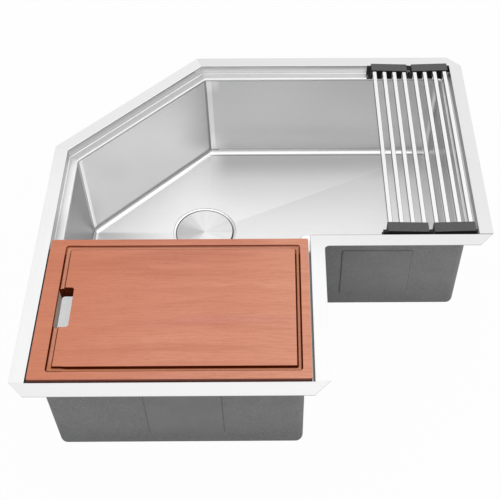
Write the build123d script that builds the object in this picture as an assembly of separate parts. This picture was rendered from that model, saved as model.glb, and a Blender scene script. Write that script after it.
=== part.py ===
"""Corner kitchen sink: an undermount stainless bowl with an L-shaped plan and a cut-off outer corner.

The rim is a flat flange with a step down to a ledge, and a wood cutting board and a folding drying rack
slide along that ledge. The floor is creased from the drain to its corners, the outside is coated over
rubber sound pads, and a basket strainer with a lift-off cover fills the drain.

Frame: millimetres, +Z up. The origin is on the rim's top face, in the middle of the flange at the inner
corner of the L. One arm runs to +X, the other to -Y, and the plan is a mirror image of itself about the
line y = -x.
"""
import os
from math import cos, radians, sin, sqrt, tan

from build123d import *

# ---- bowl and rim ----
ARM_WIDTH = 482.6  # outer width of each arm, over the flange
SPAN = 768.4  # outer length of the sink along X, and along Y
DIAGONAL_LEG = 246.0  # how much of each outer side the cut-off corner takes
FLANGE_WIDTH = 23.8
CORNER_CLIP = 25.0  # 45 degree clips on the flange's four outer right angles
INNER_CORNER_RADIUS = 8.0  # the flange's outline at the inner corner of the L
TOUCH = 0.01  # how near counts as touching
SHEET = 1.5  # stainless sheet
LEDGE_DEPTH = 19.0  # rim face down to the ledge
LEDGE_WIDTH = 16.7
RIM_FOLD_RADIUS = 1.2  # outside of the fold from the flange into the step
STEP_FOOT_RADIUS = 1.5  # inside of the fold from the step into the ledge
LEDGE_FOLD_RADIUS = 3.0  # outside of the fold from the ledge down into the walls
LIP_STRAIGHT = 1.0  # straight part of the lip below that fold, down to the weld
BOWL_DEPTH = 221.0  # rim face down to the floor at the foot of the walls
BOWL_RADIUS = 10.0  # upright corners and the foot of the walls
FLOOR_FALL = 10.0  # the floor's fall from the walls to the drain
DRAIN_INSET = 212.0  # drain centre from the origin, along -X and along +Y
PAST = 1.0  # how far a cutter runs past the face that it opens
CUT_DEPTH = 20.0  # how far a cutter or block through the sheet reaches to each side of it

# ---- sound deadening ----
PAD_SIZE = 120.0
PAD_THICKNESS = 2.0
PAD_TOP = 62.0  # rim face down to the wall pads' upper edge
PAD_OFF_MIDDLE = 12.0  # front pad's middle to the middle of its arm, towards the inner corner
PAD_FROM_DIAGONAL = 166.7  # diagonal's outer corner to the middle of the pad beside it
PAD_FROM_ARM_END = 190.2  # right arm's outer end to the middle of its front pad
COAT = 1.0
COAT_BORE_RADIUS = 58.0  # bare steel left round the drain for the washer
FLOOR_PAD_GAP = 46.0  # wall to the nearest edge of a floor pad

# ---- drain ----
RECESS_RADIUS = 57.8
RECESS_DROP = 3.0  # the recess below the lowest point of the floor
RECESS_BEND = 2.0  # rounding at the foot of the recess
DRAIN_HOLE_RADIUS = 44.5
STRAINER_FLANGE_RADIUS = 57.15
STRAINER_FLANGE_THICKNESS = 1.6
STRAINER_FLANGE_EDGE = 1.0
STRAINER_WALL = 1.5
CUP_RADIUS = 43.5
CUP_DEPTH = 46.0
NECK_RADIUS = 23.5
NECK_BORE_RADIUS = 19.0
NECK_LENGTH = 20.0
SEAL_THICKNESS = 0.8
SEAL_EDGE_GAP = 0.4  # seal to the recess's rounding
WASHER_RADIUS = 54.0
WASHER_THICKNESS = 3.0
FRICTION_WASHER_THICKNESS = 1.0
LOCKNUT_RADIUS = 51.0
LOCKNUT_HEIGHT = 10.0
LOCKNUT_LUGS = 6
LOCKNUT_LUG_WIDTH = 12.0
LOCKNUT_LUG_REACH = 4.5
TAILPIECE_RADIUS = 19.05
TAILPIECE_WALL = 0.9
TAILPIECE_LENGTH = 80.0
TAILPIECE_FLANGE_RADIUS = 22.5
TAILPIECE_FLANGE_THICKNESS = 2.0
TAILPIECE_SHOULDER_RADIUS = 19.8
TAILPIECE_SHOULDER_HEIGHT = 2.0  # the thicker root under the flange
TAILPIECE_WASHER_THICKNESS = 2.0
COUPLING_RADIUS = 29.0
COUPLING_HEIGHT = 16.0
COUPLING_LIP = 1.5
COUPLING_RIBS = 12
COUPLING_RIB_RADIUS = 2.0
THREAD_CLEARANCE = 0.05
BASKET_LIP_RADIUS = 46.5
BASKET_RADIUS = 41.0
BASKET_FOOT_RADIUS = 37.0
BASKET_HEIGHT = 34.0
BASKET_WALL = 1.0
BASKET_SLOTS = 24
BASKET_SLOT_WIDTH = 3.0
BASKET_SLOT_LENGTH = 20.0
BASKET_HOLES = 12
BASKET_HOLE_RADIUS = 2.2
BASKET_HOLE_RINGS = (16.0, 27.0)
POST_RADIUS = 2.5
POST_KNOB_RADIUS = 8.0
POST_KNOB_HEIGHT = 5.0
POST_KNOB_EDGE = 1.0
POST_RISE = 30.0  # basket floor to the top of the knob
POST_HEAD_RADIUS = 5.0
POST_HEAD_HEIGHT = 1.5
STOPPER_RADIUS = 24.0
STOPPER_THICKNESS = 3.5
STOPPER_EDGE = 1.5
COVER_RADIUS = 56.6
COVER_THICKNESS = 1.2
COVER_EDGE = 0.5
COVER_SKIRT = 1.4
COVER_FOOT_RADIUS = 2.4
COVER_FOOT_HEIGHT = 1.8
COVER_FEET = 3
COVER_FEET_START = 90.0  # direction of the first foot, in degrees from +X

# ---- cutting board ----
BOARD_DEPTH = 271.0  # front to back
BOARD_THICKNESS = 25.4
BOARD_SIDE_GAP = 3.9
BOARD_FRONT_GAP = 1.2
BOARD_CORNER = 3.0
BOARD_EDGE = 1.2
GROOVE_INSET = 14.2
GROOVE_SLOT_SIDE_INSET = 27.0
GROOVE_WIDTH = 8.0
GROOVE_DEPTH = 4.0
GROOVE_CORNER = 4.5
GROOVE_INNER_CORNER = 1.0
GROOVE_FOOT = 2.5
SLOT_WIDTH = 23.5
SLOT_LENGTH = 77.0
SLOT_CORNER = 5.0
SLOT_FORWARD = 2.4  # slot's middle in front of the board's

# ---- folding drying rack ----
ROD_WIDTH = 8.0
ROD_HEIGHT = 10.0
ROD_WALL = 0.9
ROD_CORNER = 1.3
ROD_PITCH = 19.3
RODS_PER_HALF = 4
CAP_END_MARGIN = 6.0  # outer rod's centre to the end of its cap
FOLD_GAP = 9.0  # between the caps of the two halves
CAP_DEPTH = 21.0  # rim side to bowl side
CAP_TOP = 6.6  # above the rim face, at the rack's outer ends
CAP_FALL = 2.2  # the cap's top falls this much towards the fold
CAP_EDGE = 1.0
CAP_RIM_GAP = 1.2
ROD_BELOW_CAP = 3.2
ROD_CLEARANCE = 0.1  # beside and over a rod in its cap
STRAP_PLATE = 3.0
STRAP_PLATE_DEPTH = 17.0
STRAP_LEG_TOP = 2.5  # above the rim face
STRAP_LEG_THICKNESS = 5.6
STRAP_COVER = 1.4  # cap wall outside the strap's leg
STRAP_TAIL = {"left": 7.5, "right": 3.5}  # strap past the caps, at the rack's outer ends
STRAP_LOOP_WIDTH = 1.9
STRAP_LOOP_LENGTH = 11.0
STRAP_LOOP_EDGE = 1.3  # round the slot in a strap's tail
RACK_END_GAP = 2.4  # strap end to the rim, room for its lower corner to swing as the rack folds
HINGE_RADIUS = 4.0
HINGE_PIN_RADIUS = 1.6
HINGE_PIN_HEAD = 0.8  # pin past the ears, inside the caps' line
HINGE_RUNNING_CLEARANCE = 0.06
EAR_GAP = 0.2
PLATE_FOLD_GAP = 0.3
SEAT_GAP = 0.2  # board and rack over the ledge

# ---- derived places ----
CENTRE_TO_BACK = ARM_WIDTH - FLANGE_WIDTH / 2
OPENING = FLANGE_WIDTH  # inset from the outer outline to the rim opening
BOWL = FLANGE_WIDTH + LEDGE_WIDTH  # inset to the inside of the walls
LEFT = -CENTRE_TO_BACK
BACK = CENTRE_TO_BACK
RIGHT = LEFT + SPAN
FRONT = BACK - SPAN
ARM_EDGE = FLANGE_WIDTH / 2
MITRE = tan(radians(22.5))
LEDGE_UNDER = -LEDGE_DEPTH - SHEET
WALL_TOP = -LEDGE_DEPTH - LEDGE_FOLD_RADIUS - LIP_STRAIGHT
WALL_FOOT = -BOWL_DEPTH + BOWL_RADIUS
FLOOR_LOW = -BOWL_DEPTH - FLOOR_FALL
RECESS_FLOOR = FLOOR_LOW - RECESS_DROP
DRAIN = (-DRAIN_INSET, DRAIN_INSET)
LEDGE_TOP = -LEDGE_DEPTH + SEAT_GAP


def save(shape, name):
    """Write one sub-part, as one solid or a compound of solids."""
    export_step(shape, f"parts/{name}.step")


# ---------------------------------------------------------------- plan outlines

WALL_NAMES = [
    "wall_back",
    "wall_right_arm_end",
    "wall_right_arm_front",
    "wall_left_arm_inner",
    "wall_left_arm_front",
    "wall_left",
    "wall_diagonal",
]


def plan_points(inset):
    """The seven corners of the plan, moved inwards by inset, clockwise from the back of the diagonal.

    WALL_NAMES gives the wall from each corner to the next.
    """
    return [
        (LEFT + DIAGONAL_LEG + inset * MITRE, BACK - inset),
        (RIGHT - inset, BACK - inset),
        (RIGHT - inset, -ARM_EDGE + inset),
        (ARM_EDGE - inset, -ARM_EDGE + inset),
        (ARM_EDGE - inset, FRONT + inset),
        (LEFT + inset, FRONT + inset),
        (LEFT + inset, BACK - DIAGONAL_LEG - inset * MITRE),
    ]


def plan_face(inset, radius=0.0):
    """A flat face of the plan outline at an inset, with every corner rounded to radius."""
    face = make_face(Polyline(*plan_points(inset), close=True))
    if radius > 0:
        face = fillet(face.vertices(), radius)
    return face


def slab(face, bottom, top):
    """A face drawn at z = 0 as a plate from bottom to top."""
    return extrude(Pos(0, 0, bottom) * face, top - bottom)


def box(x_range, y_range, z_range):
    """A box from its three ranges."""
    sizes = [high - low for low, high in (x_range, y_range, z_range)]
    middle = [(high + low) / 2 for low, high in (x_range, y_range, z_range)]
    return Pos(*middle) * Box(*sizes)


# ---------------------------------------------------------------- rim, walls and floor


def rim_outline():
    """The flange's outline: four clipped right angles, two plain corners and one rounded inner corner."""
    points = plan_points(0)
    face = make_face(Polyline(*points, close=True))

    def corners(*indices):
        return [face.vertices().sort_by_distance((*points[index], 0))[0] for index in indices]

    face = chamfer(corners(1, 2, 4, 5), CORNER_CLIP)
    return fillet(corners(3), INNER_CORNER_RADIUS)


def make_rim_frame():
    """Flange, step, ledge and the lip over the walls, folded from one strip and mitred at the corners."""
    opening = plan_face(OPENING)
    bowl = plan_face(BOWL, BOWL_RADIUS)
    flange = slab(rim_outline() - opening, -SHEET, 0)
    step = slab(plan_face(OPENING - SHEET) - opening, LEDGE_UNDER, -SHEET)
    ledge = slab(plan_face(OPENING - SHEET) - bowl, LEDGE_UNDER, -LEDGE_DEPTH)
    lip = slab(offset(bowl, SHEET) - bowl, WALL_TOP, LEDGE_UNDER)
    frame = flange + step + ledge + lip
    rim_fold = [e for e in at_level(frame.edges(), 0) if lies_on(e, OPENING)]
    frame = fillet(rim_fold, RIM_FOLD_RADIUS)
    step_foot = [e for e in at_level(frame.edges(), -LEDGE_DEPTH) if lies_on(e, OPENING)]
    frame = fillet(step_foot, STEP_FOOT_RADIUS)
    ledge_fold = [e for e in at_level(frame.edges(), -LEDGE_DEPTH) if lies_on_bowl(e)]
    return fillet(ledge_fold, LEDGE_FOLD_RADIUS)


def at_level(edges, level):
    """The edges that lie flat at a level."""
    return edges.filter_by_position(Axis.Z, level - TOUCH, level + TOUCH)


def lies_on(edge, inset):
    """Whether an edge's middle is on the plan outline at an inset."""
    outline = Wire(make_face(Polyline(*plan_points(inset), close=True)).edges())
    middle = edge.position_at(0.5)
    return outline.distance_to(Vertex(middle.X, middle.Y, 0)) < TOUCH


def lies_on_bowl(edge):
    """Whether an edge's middle is on the bowl's own rounded outline."""
    middle = edge.position_at(0.5)
    return Wire(plan_face(BOWL, BOWL_RADIUS).edges()).distance_to(Vertex(middle.X, middle.Y, 0)) < TOUCH


def floor_pyramid(drop):
    """The floor's flat facets: from the foot of the walls to one low point at the drain, lowered by drop."""
    level = -BOWL_DEPTH - drop
    rim = [(x, y, level) for x, y in plan_points(BOWL + BOWL_RADIUS)]
    low = (*DRAIN, level - FLOOR_FALL)
    faces = [make_face(Polyline(*rim, close=True))]
    for first, second in zip(rim, rim[1:] + rim[:1]):
        faces.append(make_face(Polyline(first, second, low, close=True)))
    return Solid(Shell(faces))


def basin(grow, top):
    """The bowl's inside as a solid, grown outwards by grow, up to the level top."""
    inside = plan_face(BOWL, BOWL_RADIUS)
    face = offset(inside, grow) if grow > 0 else inside
    block = slab(face, -BOWL_DEPTH - grow, top)
    foot = block.edges().group_by(Axis.Z)[0]
    block = fillet(foot, BOWL_RADIUS + grow)
    return block + floor_pyramid(grow) + recess(grow)


def recess(grow):
    """The round dish that is pressed into the floor for the strainer's flange."""
    floor = RECESS_FLOOR - grow
    dish = Pos(*DRAIN, floor) * Cylinder(
        RECESS_RADIUS + grow, -BOWL_DEPTH - floor, align=(Align.CENTER, Align.CENTER, Align.MIN)
    )
    return fillet(dish.edges().group_by(Axis.Z)[0], RECESS_BEND + grow)


def drain_bore(radius):
    """A round cutter through the floor at the drain."""
    return Pos(*DRAIN, RECESS_FLOOR) * Cylinder(radius, 2 * CUT_DEPTH)


def make_walls(inside, outside):
    """The upright walls, one panel for each side of the plan, welded along the middle of each corner."""
    band = outside - inside
    outer, inner = plan_points(0), plan_points(BOWL + 2 * BOWL_RADIUS)
    walls = []
    for start, name in enumerate(WALL_NAMES):
        end = (start + 1) % len(WALL_NAMES)
        side = make_face(Polyline(outer[start], outer[end], inner[end], inner[start], close=True))
        walls.append((name, band & slab(side, WALL_FOOT, WALL_TOP)))
    return walls


def make_floor_pan(inside, outside):
    """The pressed floor with its turned-up edge, creases, recess and drain hole."""
    shell = (outside - inside) & everything_between(RECESS_FLOOR - 2 * SHEET, WALL_FOOT)
    return shell - drain_bore(DRAIN_HOLE_RADIUS)


def everything_between(bottom, top):
    """A block wider than the sink, between two levels."""
    return box((LEFT, RIGHT), (FRONT, BACK), (bottom, top))


# ---------------------------------------------------------------- sound pads and coating


def wall_pad_places():
    """Wall pads: name, centre on the plan, and the direction out of the wall."""
    wall = BOWL - SHEET
    middle_of_arm_x = (ARM_EDGE + LEFT) / 2
    middle_of_arm_y = (BACK - ARM_EDGE) / 2
    arm_run = (FRONT - ARM_EDGE) / 2
    diagonal = plan_points(wall)
    diagonal_x = (diagonal[0][0] + diagonal[6][0]) / 2
    diagonal_y = (diagonal[0][1] + diagonal[6][1]) / 2
    beside_diagonal = BACK - DIAGONAL_LEG - PAD_FROM_DIAGONAL
    return [
        ("sound_pad_left_arm_front", (middle_of_arm_x + PAD_OFF_MIDDLE, FRONT + wall), (0, -1)),
        ("sound_pad_left_arm_inner", (ARM_EDGE - wall, arm_run), (1, 0)),
        ("sound_pad_left_arm_outer", (LEFT + wall, arm_run), (-1, 0)),
        ("sound_pad_left_corner", (LEFT + wall, beside_diagonal), (-1, 0)),
        ("sound_pad_diagonal", (diagonal_x, diagonal_y), (-sqrt(0.5), sqrt(0.5))),
        ("sound_pad_back_corner", (-beside_diagonal, BACK - wall), (0, 1)),
        ("sound_pad_right_arm_back", (-arm_run, BACK - wall), (0, 1)),
        ("sound_pad_right_arm_end", (RIGHT - wall, middle_of_arm_y), (1, 0)),
        ("sound_pad_right_arm_front", (RIGHT - PAD_FROM_ARM_END, -ARM_EDGE + wall), (0, -1)),
    ]


def wall_pad_zone(centre, out, grow):
    """The block of space that one wall pad fills, grown by grow on its edges."""
    x, y = centre
    turn = Rot(0, 0, 0) if out[0] == 0 else Rot(0, 0, 90) if out[1] == 0 else Rot(0, 0, 45)
    size = PAD_SIZE + 2 * grow
    middle = -PAD_TOP - PAD_SIZE / 2
    return Pos(x, y, middle) * turn * Box(size, 2 * CUT_DEPTH, size)


def floor_pad_places():
    """Floor pads: name and centre on the plan."""
    across = (ARM_EDGE + LEFT) / 2
    along = FRONT + BOWL + FLOOR_PAD_GAP + PAD_SIZE / 2
    return [
        ("sound_pad_floor_left_arm", (across, along)),
        ("sound_pad_floor_right_arm", (-along, -across)),
    ]


def floor_pad_zone(centre, grow):
    """The block of space that one floor pad fills, grown by grow on its edges."""
    size = PAD_SIZE + 2 * grow
    low = RECESS_FLOOR - 4 * SHEET
    return Pos(*centre, (low + WALL_FOOT) / 2) * Box(size, size, WALL_FOOT - low)


def pad_zones(grow):
    """Every pad's name with its block of space."""
    walls = [(name, wall_pad_zone(centre, out, grow)) for name, centre, out in wall_pad_places()]
    floors = [(name, floor_pad_zone(centre, grow)) for name, centre in floor_pad_places()]
    return walls + floors


def make_sound_pads(outside):
    """Rubber pads stuck to the outside of the walls and to the underside of the floor."""
    layer = basin(SHEET + PAD_THICKNESS, LEDGE_UNDER) - outside
    return [(name, layer & zone) for name, zone in pad_zones(0)]


def make_sound_coating(outside, pads):
    """The sprayed grey coating, which runs over the pads."""
    coat = basin(SHEET + COAT, LEDGE_UNDER)
    over_pads = basin(SHEET + PAD_THICKNESS + COAT, LEDGE_UNDER)
    for _, zone in pad_zones(COAT):
        coat += over_pads & zone
    coat -= outside
    for _, pad in pads:
        coat -= pad
    return coat - drain_bore(COAT_BORE_RADIUS)


# ---------------------------------------------------------------- drain


def turned(points):
    """A turned piece at the drain, from its half section as (radius, level) points."""
    section = make_face(Polyline(*[(r, 0, z) for r, z in points], close=True))
    return Pos(*DRAIN, 0) * revolve(section, Axis.Z)


def ring(inner, outer, bottom, top):
    """A plain ring at the drain."""
    return turned([(inner, bottom), (outer, bottom), (outer, top), (inner, top)])


def around(count, circle, start=0.0):
    """Places evenly spaced round the drain, each turned to face outwards."""
    for index in range(count):
        angle = start + 360 * index / count
        x = DRAIN[0] + circle * cos(radians(angle))
        y = DRAIN[1] + circle * sin(radians(angle))
        yield Pos(x, y, 0) * Rot(0, 0, angle)


FLANGE_UNDER = RECESS_FLOOR + SEAL_THICKNESS
FLANGE_TOP = FLANGE_UNDER + STRAINER_FLANGE_THICKNESS
CUP_FLOOR = FLANGE_TOP - CUP_DEPTH
NECK_END = CUP_FLOOR - STRAINER_WALL - NECK_LENGTH
COVER_SEAT = FLANGE_TOP + BASKET_WALL


def make_strainer_body():
    """Flanged cup with a threaded neck, turned in one piece."""
    cup_inside = CUP_RADIUS - STRAINER_WALL
    body = turned(
        [
            (cup_inside, FLANGE_TOP),
            (STRAINER_FLANGE_RADIUS - STRAINER_FLANGE_EDGE, FLANGE_TOP),
            (STRAINER_FLANGE_RADIUS, FLANGE_TOP - STRAINER_FLANGE_EDGE),
            (STRAINER_FLANGE_RADIUS, FLANGE_UNDER),
            (CUP_RADIUS, FLANGE_UNDER),
            (CUP_RADIUS, CUP_FLOOR - STRAINER_WALL),
            (NECK_RADIUS, CUP_FLOOR - STRAINER_WALL),
            (NECK_RADIUS, NECK_END),
            (NECK_BORE_RADIUS, NECK_END),
            (NECK_BORE_RADIUS, CUP_FLOOR),
            (cup_inside, CUP_FLOOR),
        ]
    )
    return body


def make_locknut(top):
    """Large locknut with lugs for a spanner."""
    nut = ring(CUP_RADIUS + THREAD_CLEARANCE, LOCKNUT_RADIUS, top - LOCKNUT_HEIGHT, top)
    for place in around(LOCKNUT_LUGS, LOCKNUT_RADIUS):
        lug = Box(2 * LOCKNUT_LUG_REACH, LOCKNUT_LUG_WIDTH, LOCKNUT_HEIGHT)
        nut += Pos(0, 0, top - LOCKNUT_HEIGHT / 2) * place * lug
    return nut


def make_coupling_nut(flange_under):
    """Slip nut that holds the tailpiece to the neck, with finger ribs."""
    bottom = flange_under - COUPLING_LIP
    top = bottom + COUPLING_HEIGHT
    neck_bore = NECK_RADIUS + THREAD_CLEARANCE
    lip_bore = TAILPIECE_SHOULDER_RADIUS + THREAD_CLEARANCE
    nut = turned(
        [
            (neck_bore, top),
            (COUPLING_RADIUS, top),
            (COUPLING_RADIUS, bottom),
            (lip_bore, bottom),
            (lip_bore, flange_under),
            (neck_bore, flange_under),
        ]
    )
    for place in around(COUPLING_RIBS, COUPLING_RADIUS):
        nut += Pos(0, 0, (top + bottom) / 2) * place * Cylinder(COUPLING_RIB_RADIUS, COUPLING_HEIGHT)
    return nut


def make_tailpiece(top):
    """Flanged outlet tube."""
    inside = TAILPIECE_RADIUS - TAILPIECE_WALL
    under = top - TAILPIECE_FLANGE_THICKNESS
    shoulder = under - TAILPIECE_SHOULDER_HEIGHT
    end = top - TAILPIECE_LENGTH
    return turned(
        [
            (inside, top),
            (TAILPIECE_FLANGE_RADIUS, top),
            (TAILPIECE_FLANGE_RADIUS, under),
            (TAILPIECE_SHOULDER_RADIUS, under),
            (TAILPIECE_SHOULDER_RADIUS, shoulder),
            (TAILPIECE_RADIUS, shoulder),
            (TAILPIECE_RADIUS, end),
            (inside, end),
        ]
    )


def save_drain():
    """The fixed pieces of the drain, from the seal under the flange to the outlet tube."""
    floor_under = RECESS_FLOOR - SHEET
    washer_under = floor_under - WASHER_THICKNESS
    friction_under = washer_under - FRICTION_WASHER_THICKNESS
    seal_radius = RECESS_RADIUS - RECESS_BEND - SEAL_EDGE_GAP
    flange_seal = ring(DRAIN_HOLE_RADIUS, seal_radius, RECESS_FLOOR, FLANGE_UNDER)
    washer_bore = CUP_RADIUS + THREAD_CLEARANCE
    save(make_strainer_body(), "strainer_body")
    save(flange_seal, "flange_seal")
    save(ring(washer_bore, WASHER_RADIUS, washer_under, floor_under), "rubber_washer")
    save(ring(washer_bore, WASHER_RADIUS, friction_under, washer_under), "friction_washer")
    save(make_locknut(friction_under), "locknut")
    tail_top = NECK_END - TAILPIECE_WASHER_THICKNESS
    tail_washer = ring(NECK_BORE_RADIUS, TAILPIECE_FLANGE_RADIUS, tail_top, NECK_END)
    save(tail_washer, "tailpiece_washer")
    save(make_tailpiece(tail_top), "tailpiece")
    save(make_coupling_nut(tail_top - TAILPIECE_FLANGE_THICKNESS), "coupling_nut")


def make_basket():
    """Lift-out basket: a lip that rests on the strainer's flange, slotted sides and a drilled floor."""
    lip_top = FLANGE_TOP + BASKET_WALL
    floor = FLANGE_TOP - BASKET_HEIGHT
    basket = turned(
        [
            (BASKET_RADIUS - BASKET_WALL, lip_top),
            (BASKET_LIP_RADIUS, lip_top),
            (BASKET_LIP_RADIUS, FLANGE_TOP),
            (BASKET_RADIUS, FLANGE_TOP),
            (BASKET_FOOT_RADIUS, floor - BASKET_WALL),
            (POST_RADIUS, floor - BASKET_WALL),
            (POST_RADIUS, floor),
            (BASKET_FOOT_RADIUS - BASKET_WALL, floor),
        ]
    )
    slot = Box(4 * BASKET_WALL + BASKET_RADIUS - BASKET_FOOT_RADIUS, BASKET_SLOT_WIDTH, BASKET_SLOT_LENGTH)
    slot_level = (FLANGE_TOP + floor) / 2
    cuts = [
        Pos(0, 0, slot_level) * place * slot
        for place in around(BASKET_SLOTS, (BASKET_RADIUS + BASKET_FOOT_RADIUS - BASKET_WALL) / 2)
    ]
    for number, circle in enumerate(BASKET_HOLE_RINGS):
        count = BASKET_HOLES * (number + 1)
        hole = Cylinder(BASKET_HOLE_RADIUS, 4 * BASKET_WALL)
        cuts += [Pos(0, 0, floor) * place * hole for place in around(count, circle)]
    return basket - cuts


def make_basket_post():
    """Post with a grip knob, riveted through the basket's floor and the stopper."""
    floor = FLANGE_TOP - BASKET_HEIGHT
    top = floor + POST_RISE
    knob_under = top - POST_KNOB_HEIGHT
    head_top = floor - BASKET_WALL - STOPPER_THICKNESS
    head_under = head_top - POST_HEAD_HEIGHT
    return turned(
        [
            (0, top),
            (POST_KNOB_RADIUS - POST_KNOB_EDGE, top),
            (POST_KNOB_RADIUS, top - POST_KNOB_EDGE),
            (POST_KNOB_RADIUS, knob_under),
            (POST_RADIUS, knob_under),
            (POST_RADIUS, head_top),
            (POST_HEAD_RADIUS, head_top),
            (POST_HEAD_RADIUS, head_under),
            (0, head_under),
        ]
    )


def make_stopper():
    """Rubber stopper under the basket, which closes the neck when the basket is pressed down."""
    top = FLANGE_TOP - BASKET_HEIGHT - BASKET_WALL
    return turned(
        [
            (POST_RADIUS, top),
            (STOPPER_RADIUS - STOPPER_EDGE, top),
            (STOPPER_RADIUS, top - STOPPER_THICKNESS / 2),
            (STOPPER_RADIUS - STOPPER_EDGE, top - STOPPER_THICKNESS),
            (POST_RADIUS, top - STOPPER_THICKNESS),
        ]
    )


def make_drain_cover():
    """Flat brushed disc with a short turned-down skirt."""
    under = COVER_SEAT + COVER_FOOT_HEIGHT
    top = under + COVER_THICKNESS
    return turned(
        [
            (0, top),
            (COVER_RADIUS - COVER_EDGE, top),
            (COVER_RADIUS, top - COVER_EDGE),
            (COVER_RADIUS, under - COVER_SKIRT),
            (COVER_RADIUS - COVER_THICKNESS, under - COVER_SKIRT),
            (COVER_RADIUS - COVER_THICKNESS, under),
            (0, under),
        ]
    )


def make_cover_feet():
    """Rubber feet that stand the cover on the basket's lip, so that water runs in under its edge."""
    foot = Pos(0, 0, COVER_SEAT + COVER_FOOT_HEIGHT / 2) * Cylinder(COVER_FOOT_RADIUS, COVER_FOOT_HEIGHT)
    circle = (BASKET_LIP_RADIUS + BASKET_RADIUS) / 2
    return Compound([place * foot for place in around(COVER_FEET, circle, COVER_FEET_START)])


# ---------------------------------------------------------------- cutting board


def rounded_rectangle(x_range, y_range, radius):
    """A flat rectangle from its ranges, with rounded corners."""
    width = x_range[1] - x_range[0]
    height = y_range[1] - y_range[0]
    middle = ((x_range[0] + x_range[1]) / 2, (y_range[0] + y_range[1]) / 2)
    return Pos(*middle, 0) * RectangleRounded(width, height, radius)


def make_cutting_board():
    """Wood board with a juice groove and a finger slot, lying on the ledge across the front arm."""
    left = LEFT + OPENING + BOARD_SIDE_GAP
    right = ARM_EDGE - OPENING - BOARD_SIDE_GAP
    front = FRONT + OPENING + BOARD_FRONT_GAP
    back = front + BOARD_DEPTH
    top = LEDGE_TOP + BOARD_THICKNESS
    board = box((left, right), (front, back), (LEDGE_TOP, top))
    board = fillet(board.edges().filter_by(Axis.Z), BOARD_CORNER)
    flat = board.edges().group_by(Axis.Z)
    board = fillet(flat[0] + flat[-1], BOARD_EDGE)

    outer_x = (left + GROOVE_SLOT_SIDE_INSET, right - GROOVE_INSET)
    outer_y = (front + GROOVE_INSET, back - GROOVE_INSET)
    inner_x = (outer_x[0] + GROOVE_WIDTH, outer_x[1] - GROOVE_WIDTH)
    inner_y = (outer_y[0] + GROOVE_WIDTH, outer_y[1] - GROOVE_WIDTH)
    outer = rounded_rectangle(outer_x, outer_y, GROOVE_CORNER)
    inner = rounded_rectangle(inner_x, inner_y, GROOVE_INNER_CORNER)
    groove = slab(outer - inner, top - GROOVE_DEPTH, top + GROOVE_DEPTH)
    groove = fillet(groove.edges().group_by(Axis.Z)[0], GROOVE_FOOT)

    slot_x = (outer_x[0], outer_x[0] + SLOT_WIDTH)
    slot_middle = (front + back) / 2 - SLOT_FORWARD
    slot_y = (slot_middle - SLOT_LENGTH / 2, slot_middle + SLOT_LENGTH / 2)
    slot = slab(rounded_rectangle(slot_x, slot_y, SLOT_CORNER), LEDGE_TOP - PAST, top + PAST)
    return board - groove - slot


# ---------------------------------------------------------------- folding drying rack

HALF_CAP = (RODS_PER_HALF - 1) * ROD_PITCH + 2 * CAP_END_MARGIN
RACK_RIGHT = RIGHT - OPENING - RACK_END_GAP - STRAP_TAIL["right"]
FOLD_X = RACK_RIGHT - HALF_CAP - FOLD_GAP / 2
FOLD_Z = STRAP_LEG_TOP - HINGE_RADIUS
CAP_BOTTOM = LEDGE_TOP + STRAP_PLATE
ENDS = {
    "front": (-ARM_EDGE + OPENING + CAP_RIM_GAP, 1),
    "back": (BACK - OPENING - CAP_RIM_GAP, -1),
}
HALVES = {"left": -1, "right": 1}


def across_ledge(end, near, far):
    """The Y range between two distances from the rim side of a cap."""
    edge, inwards = ENDS[end]
    return tuple(sorted((edge + inwards * near, edge + inwards * far)))


def along_rack(half, near, far):
    """The X range between two distances from the fold."""
    return tuple(sorted((FOLD_X + HALVES[half] * near, FOLD_X + HALVES[half] * far)))


def rod_place(half, index):
    """A rod's distance from the fold and the level of its top. The rods follow the fall of the caps."""
    distance = FOLD_GAP / 2 + CAP_END_MARGIN + index * ROD_PITCH
    share = (distance - FOLD_GAP / 2) / HALF_CAP
    return distance, CAP_TOP - CAP_FALL * (1 - share) - ROD_BELOW_CAP


def make_rod(half, index):
    """One rectangular stainless tube, from cap to cap."""
    distance, top = rod_place(half, index)
    middle_x = FOLD_X + HALVES[half] * distance
    start = ENDS["front"][0] + STRAP_COVER + STRAP_LEG_THICKNESS
    end = ENDS["back"][0] - STRAP_COVER - STRAP_LEG_THICKNESS
    outer = RectangleRounded(ROD_WIDTH, ROD_HEIGHT, ROD_CORNER)
    inner = RectangleRounded(ROD_WIDTH - 2 * ROD_WALL, ROD_HEIGHT - 2 * ROD_WALL, ROD_CORNER - ROD_WALL)
    place = Plane(origin=(middle_x, start, top - ROD_HEIGHT / 2), x_dir=(1, 0, 0), z_dir=(0, 1, 0))
    return extrude(place * (outer - inner), end - start)


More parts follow.
